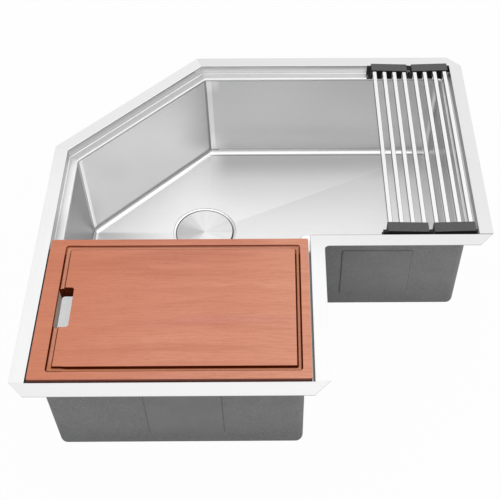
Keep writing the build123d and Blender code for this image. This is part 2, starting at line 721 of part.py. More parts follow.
def make_cap(half, end):
    """Moulded cap over the ends of four rods. Its top falls a little towards the fold."""
    near, far = FOLD_GAP / 2, FOLD_GAP / 2 + HALF_CAP
    side = HALVES[half]
    profile = make_face(
        Polyline(
            (FOLD_X + side * near, 0, CAP_BOTTOM),
            (FOLD_X + side * far, 0, CAP_BOTTOM),
            (FOLD_X + side * far, 0, CAP_TOP),
            (FOLD_X + side * near, 0, CAP_TOP - CAP_FALL),
            close=True,
        )
    )
    y_low, y_high = across_ledge(end, 0, CAP_DEPTH)
    cap = extrude(Pos(0, y_low, 0) * profile, y_high - y_low, dir=(0, 1, 0))
    cap = fillet(cap.edges(), CAP_EDGE)
    leg = across_ledge(end, STRAP_COVER, STRAP_COVER + STRAP_LEG_THICKNESS)
    cap -= box(along_rack(half, near - PAST, far + PAST), leg, (CAP_BOTTOM - PAST, STRAP_LEG_TOP))
    pocket_y = across_ledge(end, STRAP_COVER + STRAP_LEG_THICKNESS, CAP_DEPTH + PAST)
    for index in range(RODS_PER_HALF):
        distance, top = rod_place(half, index)
        reach = ROD_WIDTH / 2 + ROD_CLEARANCE
        pocket_x = along_rack(half, distance - reach, distance + reach)
        cap -= box(pocket_x, pocket_y, (top - ROD_HEIGHT, top + ROD_CLEARANCE))
    return cap


def ear_range(half, end):
    """The Y range of a hinge ear: the left half's ear is nearer the rim, the right half's is inside it."""
    ear = (STRAP_LEG_THICKNESS - EAR_GAP) / 2
    near = STRAP_COVER if half == "left" else STRAP_COVER + STRAP_LEG_THICKNESS - ear
    return across_ledge(end, near, near + ear)


def disc_along_y(radius, x, z, y_range):
    """A cylinder along Y."""
    middle = (y_range[0] + y_range[1]) / 2
    return Pos(x, middle, z) * Rot(90, 0, 0) * Cylinder(radius, y_range[1] - y_range[0])


def make_strap(half, end):
    """Soft L-shaped rail under a row of caps, with a hinge ear at the fold and a slotted outer tail."""
    near, far = FOLD_GAP / 2, FOLD_GAP / 2 + HALF_CAP + STRAP_TAIL[half]
    leg = across_ledge(end, STRAP_COVER, STRAP_COVER + STRAP_LEG_THICKNESS)
    plate = across_ledge(end, 0, STRAP_PLATE_DEPTH)
    strap = box(along_rack(half, near, far), leg, (LEDGE_TOP, STRAP_LEG_TOP))
    strap += box(along_rack(half, PLATE_FOLD_GAP, far), plate, (LEDGE_TOP, CAP_BOTTOM))
    ear = ear_range(half, end)
    strap += box(along_rack(half, 0, near), ear, (FOLD_Z - HINGE_RADIUS, STRAP_LEG_TOP))
    strap += disc_along_y(HINGE_RADIUS, FOLD_X, FOLD_Z, ear)
    bore = HINGE_PIN_RADIUS + (HINGE_RUNNING_CLEARANCE if half == "right" else 0)
    strap -= disc_along_y(bore, FOLD_X, FOLD_Z, across_ledge(end, 0, CAP_DEPTH))
    loop_end = STRAP_PLATE_DEPTH - STRAP_LOOP_EDGE
    loop_y = across_ledge(end, loop_end - STRAP_LOOP_LENGTH, loop_end)
    loop_x = along_rack(half, far - STRAP_LOOP_EDGE - STRAP_LOOP_WIDTH, far - STRAP_LOOP_EDGE)
    return strap - box(loop_x, loop_y, (LEDGE_TOP - PAST, CAP_BOTTOM + PAST))


def make_hinge_pin(end):
    """Steel pin through the two ears at one end of the fold."""
    reach = STRAP_COVER + STRAP_LEG_THICKNESS
    pin = across_ledge(end, STRAP_COVER, reach + HINGE_PIN_HEAD)
    return disc_along_y(HINGE_PIN_RADIUS, FOLD_X, FOLD_Z, pin)


def save_rack():
    """Two halves of four rods, with a cap and a strap at both ends, and a pin at each end of the fold."""
    for half in HALVES:
        for index in range(RODS_PER_HALF):
            save(make_rod(half, index), f"rack_rod_{half}_{index + 1}")
        for end in ENDS:
            save(make_cap(half, end), f"rack_cap_{end}_{half}")
            save(make_strap(half, end), f"rack_strap_{end}_{half}")
    for end in ENDS:
        save(make_hinge_pin(end), f"rack_hinge_pin_{end}")


# ---------------------------------------------------------------- build


def main():
    os.makedirs("parts", exist_ok=True)
    inside = basin(0, LEDGE_UNDER)
    outside = basin(SHEET, LEDGE_UNDER)
    save(make_rim_frame(), "rim_frame")
    for name, wall in make_walls(inside, outside):
        save(wall, name)
    save(make_floor_pan(inside, outside), "floor_pan")
    pads = make_sound_pads(outside)
    for name, pad in pads:
        save(pad, name)
    save(make_sound_coating(outside, pads), "sound_coating")
    save_drain()
    save(make_basket(), "strainer_basket")
    save(make_basket_post(), "basket_post")
    save(make_stopper(), "basket_stopper")
    save(make_drain_cover(), "drain_cover")
    save(make_cover_feet(), "cover_feet")
    save(make_cutting_board(), "cutting_board")
    save_rack()


main()
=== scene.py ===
from math import radians, tan

import bpy
import numpy as np
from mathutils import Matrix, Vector


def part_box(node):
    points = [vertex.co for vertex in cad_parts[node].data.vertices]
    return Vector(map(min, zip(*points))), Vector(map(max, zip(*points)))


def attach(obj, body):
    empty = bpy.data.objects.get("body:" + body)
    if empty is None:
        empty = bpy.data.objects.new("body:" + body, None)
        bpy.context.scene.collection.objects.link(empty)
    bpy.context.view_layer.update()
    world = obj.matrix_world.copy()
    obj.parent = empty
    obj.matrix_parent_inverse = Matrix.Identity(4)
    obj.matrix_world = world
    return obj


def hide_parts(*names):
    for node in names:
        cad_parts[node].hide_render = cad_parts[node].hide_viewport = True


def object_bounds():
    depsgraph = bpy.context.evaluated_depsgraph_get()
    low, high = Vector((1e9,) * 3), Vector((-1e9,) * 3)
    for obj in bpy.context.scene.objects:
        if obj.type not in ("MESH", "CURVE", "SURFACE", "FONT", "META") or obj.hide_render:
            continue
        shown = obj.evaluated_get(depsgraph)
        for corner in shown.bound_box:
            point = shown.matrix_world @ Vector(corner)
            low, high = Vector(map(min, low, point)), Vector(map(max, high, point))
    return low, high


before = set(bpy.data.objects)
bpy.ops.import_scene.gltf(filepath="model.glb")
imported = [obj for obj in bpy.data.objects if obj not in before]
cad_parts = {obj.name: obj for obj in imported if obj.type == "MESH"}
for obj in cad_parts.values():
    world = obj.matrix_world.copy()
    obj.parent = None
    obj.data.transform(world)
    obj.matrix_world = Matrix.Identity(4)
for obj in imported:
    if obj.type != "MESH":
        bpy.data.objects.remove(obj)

cad_box = [list(corner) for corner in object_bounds()]

# ---------------------------------------------------------------- camera
# The view is from in front and above, a little to the left of the sink's middle, with a fairly long
# lens. It was fitted to the corners of the rim, the ledge and the bowl.

LENS = 67.74
SENSOR_WIDTH = 36.0
SHIFT_X = -0.06
CAMERA_PLACE = (-0.0695, -1.0075, 1.2124)
CAMERA_TILT = 39.125
CAMERA_TURN = -0.387

camera_data = bpy.data.cameras.new("camera")
camera_data.lens = LENS
camera_data.sensor_width = SENSOR_WIDTH
camera_data.shift_x = SHIFT_X
camera = bpy.data.objects.new("camera", camera_data)
camera.location = CAMERA_PLACE
camera.rotation_euler = (radians(CAMERA_TILT), 0, radians(CAMERA_TURN))
bpy.context.scene.collection.objects.link(camera)
bpy.context.scene.camera = camera


# ---------------------------------------------------------------- studio
# A white room that gives a little more light from the right, with one wide lamp overhead. The floor is
# pale and keeps a faint shadow, and to the camera both the room and the floor are white.

ROOM_LIGHT = 0.92
MORE_LIGHT_TOWARDS = (0.2, 0.0, 0.0)
WHITE = (1, 1, 1, 1)
FLOOR_SIZE = 14.0
FLOOR_TONE = (0.60, 0.60, 0.60, 1)
FLOOR_GLOW = 0.975
LAMP_PLACE = (0.0, 0.5, 2.4)
LAMP_AIM = (-0.1, 0.1, -0.1)
LAMP_SIZE = (3.2, 2.6)
LAMP_WATTS = 6.3


class Bench:
    """Puts nodes into one node tree and wires them. A socket or a plain value may be given as an input."""

    def __init__(self, tree):
        self.tree = tree
        tree.nodes.clear()

    def feed(self, socket, value):
        """Links a socket to another one, or sets a plain value on it."""
        if isinstance(value, bpy.types.NodeSocket):
            self.tree.links.new(value, socket)
        else:
            socket.default_value = value

    def put(self, kind, inputs=(), **settings):
        """Adds a node, sets its properties, and feeds its inputs by name or number."""
        node = self.tree.nodes.new("ShaderNode" + kind)
        for name, value in settings.items():
            setattr(node, name, value)
        for key, value in dict(inputs).items():
            self.feed(node.inputs[key], value)
        return node

    def math(self, operation, *values):
        """One Math node."""
        return self.put("Math", enumerate(values), operation=operation).outputs[0]

    def plus(self, first, second):
        """A sum."""
        return self.math("ADD", first, second)

    def minus(self, first, second):
        """A difference."""
        return self.math("SUBTRACT", first, second)

    def times(self, first, *others):
        """A product. Of shares, it is 1 only where every one of them is 1."""
        for other in others:
            first = self.math("MULTIPLY", first, other)
        return first

    def faded(self, share, factor):
        """A number that goes from 1 to factor as share goes from 0 to 1."""
        return self.minus(1.0, self.times(share, 1.0 - factor))

    def step(self, value, low, high, out_low=0.0, out_high=1.0):
        """A smooth rise of value from low to high. It falls where low is the higher of the two."""
        inputs = {"Value": value, 1: low, 2: high, 3: out_low, 4: out_high}
        return self.put("MapRange", inputs, interpolation_type="SMOOTHSTEP").outputs[0]

    def band(self, value, low, high, soft):
        """1 where value is between low and high, falling to 0 over soft on each side."""
        return self.times(self.step(value, low - soft, low), self.step(value, high + soft, high))

    def split(self, vector):
        """A vector's three parts."""
        return self.put("SeparateXYZ", {0: vector}).outputs

    def join(self, x=0.0, y=0.0, z=0.0):
        """A vector from three parts."""
        return self.put("CombineXYZ", {0: x, 1: y, 2: z}).outputs[0]

    def scaled(self, vector, factors):
        """A vector or colour, each part times its own factor."""
        return self.put("VectorMath", {0: vector, 1: factors}, operation="MULTIPLY").outputs[0]

    def noise(self, vector, scale, detail=2.0, roughness=0.5):
        """Noise between 0 and 1 on a vector. scale is one number, or one for each part of the vector."""
        if isinstance(scale, tuple):
            vector, scale = self.scaled(vector, scale), 1.0
        inputs = {"Vector": vector, "Scale": scale, "Detail": detail, "Roughness": roughness}
        return self.put("TexNoise", inputs).outputs[0]

    def blend(self, share, first, second):
        """A colour between two colours."""
        return self.put("Mix", {0: share, 6: first, 7: second}, data_type="RGBA").outputs[2]

    def mottled(self, tone, dark, light):
        """A colour between two that follows a noise, whose values lie mostly between 0.3 and 0.7."""
        return self.blend(self.step(tone, 0.3, 0.7), dark, light)

    def place(self):
        """Object coordinates, in metres in the part's own frame."""
        return self.put("TexCoord").outputs["Object"]

    def finish(self, inputs, height=None, relief=0.0):
        """The Principled shader and the output. A height of 1 stands for relief in millimetres."""
        if height is not None:
            bump = {"Height": height, "Distance": relief / 1000, "Strength": 1.0}
            inputs = {**inputs, "Normal": self.put("Bump", bump).outputs[0]}
        shader = self.put("BsdfPrincipled", inputs)
        self.put("OutputMaterial", {"Surface": shader.outputs[0]})


def new_material(name):
    """An empty node material and its bench."""
    material = bpy.data.materials.new(name)
    material.use_nodes = True
    return material, Bench(material.node_tree)


def new_group(name, inputs, outputs):
    """An empty shader group. Gives its bench, and its input and output sockets by name."""
    tree = bpy.data.node_groups.new(name, "ShaderNodeTree")
    bench = Bench(tree)
    for label, (kind, value) in inputs.items():
        socket = tree.interface.new_socket(label, in_out="INPUT", socket_type="NodeSocket" + kind)
        if value is not None:
            socket.default_value = value
    for label in outputs:
        tree.interface.new_socket(label, in_out="OUTPUT", socket_type="NodeSocketFloat")
    return bench, tree.nodes.new("NodeGroupInput").outputs, tree.nodes.new("NodeGroupOutput").inputs


def place_group(bench, name, **inputs):
    """Puts a shared group into a material. Gives its outputs."""
    return bench.put("Group", inputs, node_tree=bpy.data.node_groups[name]).outputs


def add_mesh(name, points, faces):
    """A smooth mesh object from an (n, 3) array of points and an (m, 4) array of faces."""
    mesh = bpy.data.meshes.new(name)
    mesh.from_pydata(points.tolist(), [], faces.tolist())
    mesh.polygons.foreach_set("use_smooth", np.full(len(mesh.polygons), True))
    mesh.update()
    piece = bpy.data.objects.new(name, mesh)
    bpy.context.scene.collection.objects.link(piece)
    return piece


world = bpy.data.worlds.new("studio")
bpy.context.scene.world = world
world.use_nodes = True
room = Bench(world.node_tree)
towards = room.put("TexCoord").outputs["Generated"]
lean = room.put("VectorMath", {0: towards, 1: MORE_LIGHT_TOWARDS}, operation="DOT_PRODUCT").outputs["Value"]
lit = room.plus(ROOM_LIGHT, lean)
seen = room.put("LightPath").outputs["Is Camera Ray"]
strength = room.plus(lit, room.times(seen, room.minus(1.0, lit)))
background = room.put("Background", {"Color": WHITE, "Strength": strength})
room.put("OutputWorld", {"Surface": background.outputs[0]})

half = FLOOR_SIZE / 2
floor_corners = np.array([(-half, -half), (half, -half), (half, half), (-half, half)])
floor_points = np.column_stack([floor_corners, np.full(4, cad_box[0][2])])
floor = add_mesh("studio_floor", floor_points, np.array([[0, 1, 2, 3]]))
floor_paint, bench = new_material("studio_floor")
matte = bench.put("BsdfPrincipled", {"Base Color": FLOOR_TONE, "Roughness": 0.9, "Specular IOR Level": 0.0})
glow = bench.put("Emission", {"Color": WHITE, "Strength": 1.0})
path = bench.put("LightPath").outputs
seen = bench.math("MAXIMUM", path["Is Camera Ray"], path["Is Glossy Ray"])
seen = bench.math("MAXIMUM", seen, path["Is Transmission Ray"])
mix_inputs = {0: bench.times(seen, FLOOR_GLOW), 1: matte.outputs[0], 2: glow.outputs[0]}
bench.put("OutputMaterial", {"Surface": bench.put("MixShader", mix_inputs).outputs[0]})
floor.data.materials.append(floor_paint)

lamp_data = bpy.data.lights.new("overhead", "AREA")
lamp_data.shape = "RECTANGLE"
lamp_data.size, lamp_data.size_y = LAMP_SIZE
lamp_data.energy = LAMP_WATTS
lamp = bpy.data.objects.new("overhead", lamp_data)
lamp.location = LAMP_PLACE
lamp.rotation_euler = (Vector(LAMP_AIM) - Vector(LAMP_PLACE)).to_track_quat("-Z", "Y").to_euler()
bpy.context.scene.collection.objects.link(lamp)


# ---------------------------------------------------------------- stainless sheet
# The rim, the seven wall panels and the pressed floor are 1.5 mm stainless sheet. Each face was
# brushed along its length before folding, so the rim's grain turns with every mitre.

# Rim, pan and walls are one steel, in tones that are painted light and shade; the gap tone is painted shade.
SHEET_TONE = (0.84, 0.84, 0.843, 1)
PAN_TONE = (0.98, 0.98, 0.982, 1)
WALL_TONE = 0.67
WALL_TONES = {"wall_left": 0.34, "wall_diagonal": 0.765, "wall_right_arm_end": 0.50}
GAP_SHADE = (0.06, 0.06, 0.06, 1)
ROUGHNESS_SPREAD = 0.03
# Metres: how wide a gap is shaded, the plan of the sink, and the bowl inside it.
GAP_REACH = 0.012
DIAGONAL_LEG = 0.246
INNER_CORNER = 0.0119
STRIP_MIDDLE = 0.02142
BOWL_INSET = 0.0405
BOWL_ROUND = 0.010
BOWL_DEPTH = 0.221
BOWL_FOOT = BOWL_ROUND - BOWL_DEPTH
FLOOR_FALL = 0.010
# Ranges of level that were pressed or folded, each with its factor of the roughness.
LEDGE_WORKED = (-0.0194, -0.0176, 2.5)
PAN_WORKED = (-BOWL_DEPTH + 0.0004, BOWL_FOOT - 0.0060, 0.35)
WORKED_SOFT = 0.0006

bench, entry, leave = new_group(
    "brushed grain",
    {"Vector": ("Vector", None), "Spacing": ("Float", 0.7), "Length": ("Float", 60.0)},
    ("Tone", "Height"),
)
# Streaks run along X: the other two axes are divided by the spacing in millimetres, X by the length.
across = bench.math("DIVIDE", 1000.0, entry["Spacing"])
along = bench.math("DIVIDE", 1000.0, entry["Length"])
streaks = bench.scaled(entry["Vector"], bench.join(along, across, across))
fine = bench.noise(streaks, 1.0, 3.0, 0.6)
broad = bench.noise(streaks, (0.35, 0.12, 0.12))
bench.feed(leave["Tone"], bench.plus(bench.times(fine, 0.6), bench.times(broad, 0.4)))
bench.feed(leave["Height"], fine)


def two_tones(tone, spread):
    """A tone made darker and lighter by a share of itself."""
    dark = tuple(channel * (1 - spread) for channel in tone[:3]) + (1,)
    light = tuple(min(channel * (1 + spread), 1.0) for channel in tone[:3]) + (1,)
    return dark, light


def toned(bench, colour, rows):
    """A colour that is multiplied by each row's factor where the row's share is 1."""
    for share, factor in rows:
        level = bench.faded(share, factor)
        colour = bench.scaled(colour, bench.join(level, level, level))
    return colour


def lines(bench, value, table):
    """Rows for toned, from a table's rows: a band of value, how softly it ends, and its factor."""
    return [(bench.band(value, low, high, soft), factor) for low, high, soft, factor in table]


def steel(
    name, tone, roughness, spacing=0.7, length=60.0, turn=None, relief=0.004, contrast=0.03, marks=None,
    worked=None
):
    """Brushed steel, with streaks along X of the place, or of the place passed through turn.

    marks is a function that adds this piece's own lines and shades to the colour. worked is a range of
    levels and the factor by which pressing or folding has changed the roughness there.
    """
    material, bench = new_material(name)
    place = bench.place()
    turned = place if turn is None else turn(bench, place)
    grain = place_group(bench, "brushed grain", Vector=turned, Spacing=spacing, Length=length)
    colour = bench.mottled(grain["Tone"], *two_tones(tone, contrast))
    if marks is not None:
        colour = marks(bench, colour, place)
    rough = bench.step(grain["Tone"], 0.25, 0.75, roughness + ROUGHNESS_SPREAD, roughness - ROUGHNESS_SPREAD)
    if worked is not None:
        low, high, factor = worked
        share = bench.band(bench.split(place)[2], low, high, WORKED_SOFT)
        rough = bench.times(rough, bench.faded(share, factor))
    bench.finish({"Base Color": colour, "Metallic": 1.0, "Roughness": rough}, grain["Height"], relief)
    return material


def dress(material, *nodes):
    """Gives CAD nodes their finish."""
    for node in nodes:
        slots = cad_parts[node].data.materials
        for index in range(len(slots)):
            slots[index] = material


def plan_corners(inset):
    """The seven corners of the sink's plan, anticlockwise from the front left, moved inwards by inset.

    A square corner moves by inset along both axes. At the two ends of the cut corner the sides meet at
    135 degrees, and there a corner moves by inset across its straight side and by the tangent of 22.5
    degrees times inset along it.
    """
    low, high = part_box("rim_frame")
    along = inset * tan(radians(22.5))
    return np.array(
        [
            (low.x + inset, low.y + inset),
            (INNER_CORNER - inset, low.y + inset),
            (INNER_CORNER - inset, -INNER_CORNER + inset),
            (high.x - inset, -INNER_CORNER + inset),
            (high.x - inset, high.y - inset),
            (low.x + DIAGONAL_LEG + along, high.y - inset),
            (low.x + inset, high.y - DIAGONAL_LEG - along),
        ]
    )


# The numbers that plan_corners gives the last four corners. The side that starts at each has its name.
RIGHT, BACK, DIAGONAL, LEFT = 3, 4, 5, 6


def drain_centre():
    """The drain's place in plan: the middle of the seal under its flange."""
    low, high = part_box("flange_seal")
    return np.array((low.x + high.x, low.y + high.y)) / 2


def unit_sides(corners):
    """The directions of an outline's sides, each starting at the corner with its number."""
    sides = np.roll(corners, -1, axis=0) - corners
    return sides / np.linalg.norm(sides, axis=1, keepdims=True)


def offsets(bench, x, y, start, side):
    """A place's way along a side from its start, and its way to the left of that side.

    The first is the dot product of the side's direction and the way from its start, and the second is
    their cross product.
    """
    dx, dy = bench.minus(x, start[0]), bench.minus(y, start[1])
    run = bench.plus(bench.times(dx, side[0]), bench.times(dy, side[1]))
    inside = bench.minus(bench.times(dy, side[0]), bench.times(dx, side[1]))
    return run, inside


def along_walls(bench, place):
    """Level streaks on upright walls: the height becomes the axis across the streaks."""
    x, y, z = bench.split(place)
    return bench.join(bench.plus(x, y), z)


def along_rim(bench, place):
    """Streaks that follow the nearest of the rim's seven strips, so they meet in mitres.

    For each strip the distance to its middle line is worked out, and the nearest strip's own place,
    along it and across it, is kept by comparing distances one after another.
    """
    corners = plan_corners(STRIP_MIDDLE)
    lengths = np.linalg.norm(np.roll(corners, -1, axis=0) - corners, axis=1)
    x, y, z = bench.split(place)
    nearest = None
    for start, side, length in zip(corners, unit_sides(corners), lengths):
        run, inside = offsets(bench, x, y, start, side)
        past = bench.math("MAXIMUM", bench.minus(0.0, run), bench.minus(run, length))
        away = bench.plus(bench.math("ABSOLUTE", inside), bench.math("MAXIMUM", past, 0.0))
        strip_place = bench.join(run, inside, z)
        if nearest is None:
            nearest, chosen = away, strip_place
            continue
        closer = bench.math("LESS_THAN", away, nearest)
        chosen = bench.put("Mix", {0: closer, 4: chosen, 5: strip_place}, data_type="VECTOR").outputs[1]
        nearest = bench.math("MINIMUM", nearest, away)
    return chosen


MITRE_SOFT = 0.0006
LINE_SOFT = 0.0003
# Bands of painted light and shade on the rim, in metres: lowest, highest, how softly they end, and the
# factor of the tone.
RIM_LINES = (
    (-0.00030, -0.00008, 0.00004, 1.12),  # glint on the edge of the rim's face
    (-0.0013, -0.0005, 0.0002, 0.42),  # painted shade at the turn into the step
    (-0.0202, -0.0187, 0.0002, 1.19),  # painted highlight on the ledge
    (-0.0240, -0.0222, 0.0003, 0.60),  # painted shade at the seam under the lip
)
DIAGONAL_LINES = (
    (-0.0184, -0.0176, 0.0002, 1.45),  # painted highlight at the foot of the step
    (-0.0170, -0.0158, 0.0002, 0.80),  # shade over it
)
OTHER_LINES = (
    (-0.0222, -0.0193, 0.0002, 0.77),  # painted shade on the fold from the ledge into the lip
    (-0.0178, -0.0168, 0.0001, 0.80),  # painted shade at the foot of the step
)


def rim_marks(bench, colour, place):
    """Painted highlights and painted shade lines along the folds, and painted light and shade that differ
    from strip to strip.

    A place belongs to the strip whose side it is nearest to. The step gets the most painted shade on the
    left and right strips. Gaps beside the board, where steel reflects only wood, get painted shade from an
    ambient occlusion mask, apart from the one at the arm's inner side.
    """
    step, band, times, minus = bench.step, bench.band, bench.times, bench.minus
    x, y, level = bench.split(place)
    corners = plan_corners(0.0)
    sides = unit_sides(corners)
    right_end = corners[:, 0].max()
    from_back, from_diagonal, from_left = [
        offsets(bench, x, y, corners[index], sides[index])[1] for index in (BACK, DIAGONAL, LEFT)
    ]
    # Painted shade in narrow gaps, from an ambient occlusion mask.
    open_share = bench.put("AmbientOcclusion", {"Distance": GAP_REACH}, samples=6).outputs["AO"]
    inner_side = times(step(x, -0.050, -0.045), step(level, -0.0165, -0.0175))
    kept = bench.math("MAXIMUM", step(open_share, 0.15, 0.58), inner_side)
    colour = bench.blend(kept, GAP_SHADE, colour)

    # Seen from above: the strips, and parts of them.
    nearest_left = step(minus(from_diagonal, from_left), 0.0, MITRE_SOFT)
    on_left = times(nearest_left, step(from_left, 0.034, 0.030))
    on_right = step(x, right_end - 0.034, right_end - 0.030)
    others = bench.math("MINIMUM", from_left, from_back)
    nearest_diagonal = step(minus(others, from_diagonal), 0.0, MITRE_SOFT)
    on_diagonal = times(nearest_diagonal, step(from_diagonal, 0.060, 0.055))
    elsewhere = minus(1.0, on_diagonal)
    far_left = times(on_left, step(y, 0.03, 0.15))
    front = step(y, -0.2725, -0.2735)
    back_ledge = times(step(from_back, 0.018, 0.036), step(from_back, 0.046, 0.044))
    left_ledge = times(step(from_left, 0.050, 0.026), step(y, 0.10, 0.04))
    beside_board = step(y, -0.006, -0.014)
    arm_step = times(band(x, -0.0215, -0.0095, LINE_SOFT), beside_board)
    arm_edge = times(band(x, -0.0142, -0.0112, LINE_SOFT), beside_board)
    front_edge = times(band(y, 0.0106, 0.0122, LINE_SOFT), step(x, -0.0100, -0.0080))

    # By level: the face, the step and the ledge.
    face = step(level, -0.0004, -0.0002)
    below_face = step(level, -0.0008, -0.0014)
    above_fold = step(level, -0.0010, -0.0006)
    step_face = band(level, -0.0172, -0.0013, 0.0004)
    up_step = step(level, -0.0240, -0.0015)
    ledge = step(level, -0.0172, -0.0180)
    # Every row is painted light where its factor is above 1 and painted shade where it is below.
    rows = [
        (times(face, on_diagonal), 1.10),
        (times(face, far_left), 1.12),
        (times(face, front), 0.93),
        (times(below_face, arm_edge), 0.25),
        (times(above_fold, front_edge), 0.45),
        (times(step_face, up_step), 0.63),
        (times(step_face, arm_step), 0.30),
        (times(step_face, on_diagonal), 0.80),
        (times(step_face, on_left), 0.58),
        (times(step_face, on_right), 0.33),
        (times(ledge, left_ledge), 0.78),
        (times(ledge, on_diagonal), 0.86),
        (times(ledge, back_ledge, elsewhere), 1.24),
    ]
    rows += lines(bench, level, RIM_LINES)
    rows += [(times(line, on_diagonal), factor) for line, factor in lines(bench, level, DIAGONAL_LINES)]
    rows += [(times(line, elsewhere), factor) for line, factor in lines(bench, level, OTHER_LINES)]
    return toned(bench, colour, rows)


# Bands of painted light and shade beside the two ends of the diagonal wall, in metres along the wall
# from its corner: from, to, how softly they end, and the factor of the tone.
LEFT_CORNER_LINES = (
    (-0.0062, 0.0085, 0.0006, 1.75),  # painted highlight band
    (-0.0045, 0.0055, 0.0010, 0.82),  # painted shade in its middle
    (0.0098, 0.0140, 0.0015, 0.80),  # shade beside it on the left wall
)
BACK_CORNER_LINES = (
    (0.0020, 0.0022, 0.0090, 0.95),  # wide faint shade
    (-0.0008, 0.0028, 0.0008, 0.42),  # painted dark line
    (-0.0100, -0.0022, 0.0012, 1.28),  # painted highlight band
)


def wall_marks(bench, colour, place):
    """Painted highlights on the upright corners, and painted shade lines at the seams along the walls' upper
    and lower edges.

    Round each upright corner the place is measured along the wall, and the corner gets a band of painted
    highlight. At the left one the band has lighter edges, and at the back one it fades out and a painted dark
    line lies beside it. The right end of the back wall and the piece seen through the board's slot are
    painted lighter.
    """
    step, band, times, minus = bench.step, bench.band, bench.times, bench.minus
    x, y, level = bench.split(place)
    corners = plan_corners(BOWL_INSET)
    sides = unit_sides(corners)
    runs = []
    for index in (DIAGONAL, LEFT):
        along = sides[index - 1] + sides[index]
        runs.append(offsets(bench, x, y, corners[index], along / np.linalg.norm(along))[0])
    back, left = runs
    on_back = step(back, 0.0, -0.002)
    on_diagonal = times(step(back, 0.0, 0.002), step(left, 0.0, -0.006))
    corner_top = times(band(back, -0.0180, -0.0020, 0.0100), step(level, -0.060, -0.028))
    near_corner = step(back, 0.160, 0.010)
    right_end = times(step(x, 0.0, 0.22), step(x, 0.258, 0.254))
    under_slot = times(step(x, -0.40, -0.42), step(y, 0.005, -0.025))
    downwards = step(level, -0.04, BOWL_FOOT)
    near_foot = step(level, BOWL_FOOT + 0.060, BOWL_FOOT)
    light_line = band(level, BOWL_FOOT + 0.0014, BOWL_FOOT + 0.0034, 0.0004)
    seam = band(level, BOWL_FOOT - 0.001, BOWL_FOOT + 0.0008, 0.0006)
    wide_seam = step(level, BOWL_FOOT + 0.0075, BOWL_FOOT + 0.0020)
    upper_seam = step(level, -0.0248, -0.0234)
    # Every row is painted light where its factor is above 1 and painted shade where it is below.
    rows = lines(bench, left, LEFT_CORNER_LINES) + lines(bench, back, BACK_CORNER_LINES)
    rows += [
        (corner_top, 1.25),
        (times(near_foot, on_back), 1.32),
        (times(downwards, on_diagonal), 0.86),
        (on_diagonal, 1.04),
        (times(near_corner, on_diagonal), 1.12),
        (right_end, 1.12),
        (under_slot, 2.6),
        (times(light_line, on_back), 1.34),
        (times(seam, on_back), 0.90),
        (times(seam, minus(1.0, on_back)), 0.62),
        (times(wide_seam, on_diagonal), 0.70),
        (upper_seam, 0.6),
    ]
    return toned(bench, colour, rows)


def pan_marks(bench, colour, place):
    """Painted shade lines along the folds, painted shade near the walls, and painted highlights along the
    creases that were pressed into the floor.

    The floor's facets meet where the way to two walls, each as a share of the drain's way to that wall,
    is the same. Near the back wall the floor is shaded over 80 mm, and beside the left wall further.
    """
    step, band, times, minus = bench.step, bench.band, bench.times, bench.minus
    x, y, level = bench.split(place)
    corners = plan_corners(BOWL_INSET)
    sides = unit_sides(corners)
    drain = drain_centre()
    ways, shares = {}, {}
    for index in (RIGHT, BACK, DIAGONAL, LEFT):
        start, side = corners[index], sides[index]
        ways[index] = offsets(bench, x, y, start, side)[1]
        reach = (drain[1] - start[1]) * side[0] - (drain[0] - start[0]) * side[1]
        shares[index] = bench.math("DIVIDE", ways[index], reach)
    on_floor = step(level, -BOWL_DEPTH + 0.0006, -BOWL_DEPTH + 0.0001)
    to_back = minus(shares[DIAGONAL], shares[BACK])
    to_left = minus(shares[DIAGONAL], shares[LEFT])
    near_back = times(step(ways[BACK], 0.092, 0.012), step(to_back, -0.05, 0.20))
    near_left = times(step(ways[LEFT], 0.170, 0.004), step(to_left, -0.01, 0.03))
    by_back = step(ways[BACK], 0.014, 0.012)
    by_diagonal = step(ways[DIAGONAL], 0.014, 0.012)
    seam = band(level, BOWL_FOOT - 0.0012, BOWL_FOOT + 0.001, 0.0004)
    under_seam = band(level, BOWL_FOOT - 0.0034, BOWL_FOOT - 0.0012, 0.0004)
    fold_line = band(level, BOWL_FOOT - 0.0062, BOWL_FOOT - 0.0052, 0.0004)
    back_line = times(band(ways[BACK], 0.0092, 0.0116, 0.0008), step(to_back, -0.02, 0.02))
    # Every row is painted shade, and the creases added below get a painted highlight.
    rows = [
        (times(near_back, on_floor), 0.62),
        (times(near_left, on_floor), 0.72),
        (times(seam, by_back), 0.75),
        (times(seam, minus(1.0, by_back)), 0.40),
        (times(under_seam, by_diagonal), 0.50),
        (fold_line, 0.72),
        (back_line, 0.60),
    ]
    for other in (RIGHT, DIAGONAL):
        crease = band(minus(shares[BACK], shares[other]), -0.001, 0.001, 0.007)
        rows.append((times(crease, on_floor), 1.05))
    return toned(bench, colour, rows)


rim_look = {"turn": along_rim, "relief": 0.001, "contrast": 0.012, "marks": rim_marks, "worked": LEDGE_WORKED}
dress(steel("rim_steel", SHEET_TONE, 0.16, **rim_look), "rim_frame")
wall_look = {"turn": along_walls, "relief": 0.001, "contrast": 0.008, "marks": wall_marks}
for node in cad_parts:
    if node.startswith("wall_"):
        grey = WALL_TONES.get(node, WALL_TONE)
        dress(steel(node + "_steel", (grey, grey, grey * 1.004, 1), 0.34, **wall_look), node)
pan_look = {"length": 90.0, "relief": 0.001, "contrast": 0.01, "marks": pan_marks, "worked": PAN_WORKED}
dress(steel("pan_steel", PAN_TONE, 0.40, **pan_look), "floor_pan")


# ---------------------------------------------------------------- sprayed coating
# The outside is sprayed with a thick grey coating that deadens the noise of water. It runs over the
# rubber pads, whose edges still show with painted shade along them, and dries with a fine pebbled skin.

DULL = 0.35
PEBBLE_CONTRAST = 0.25

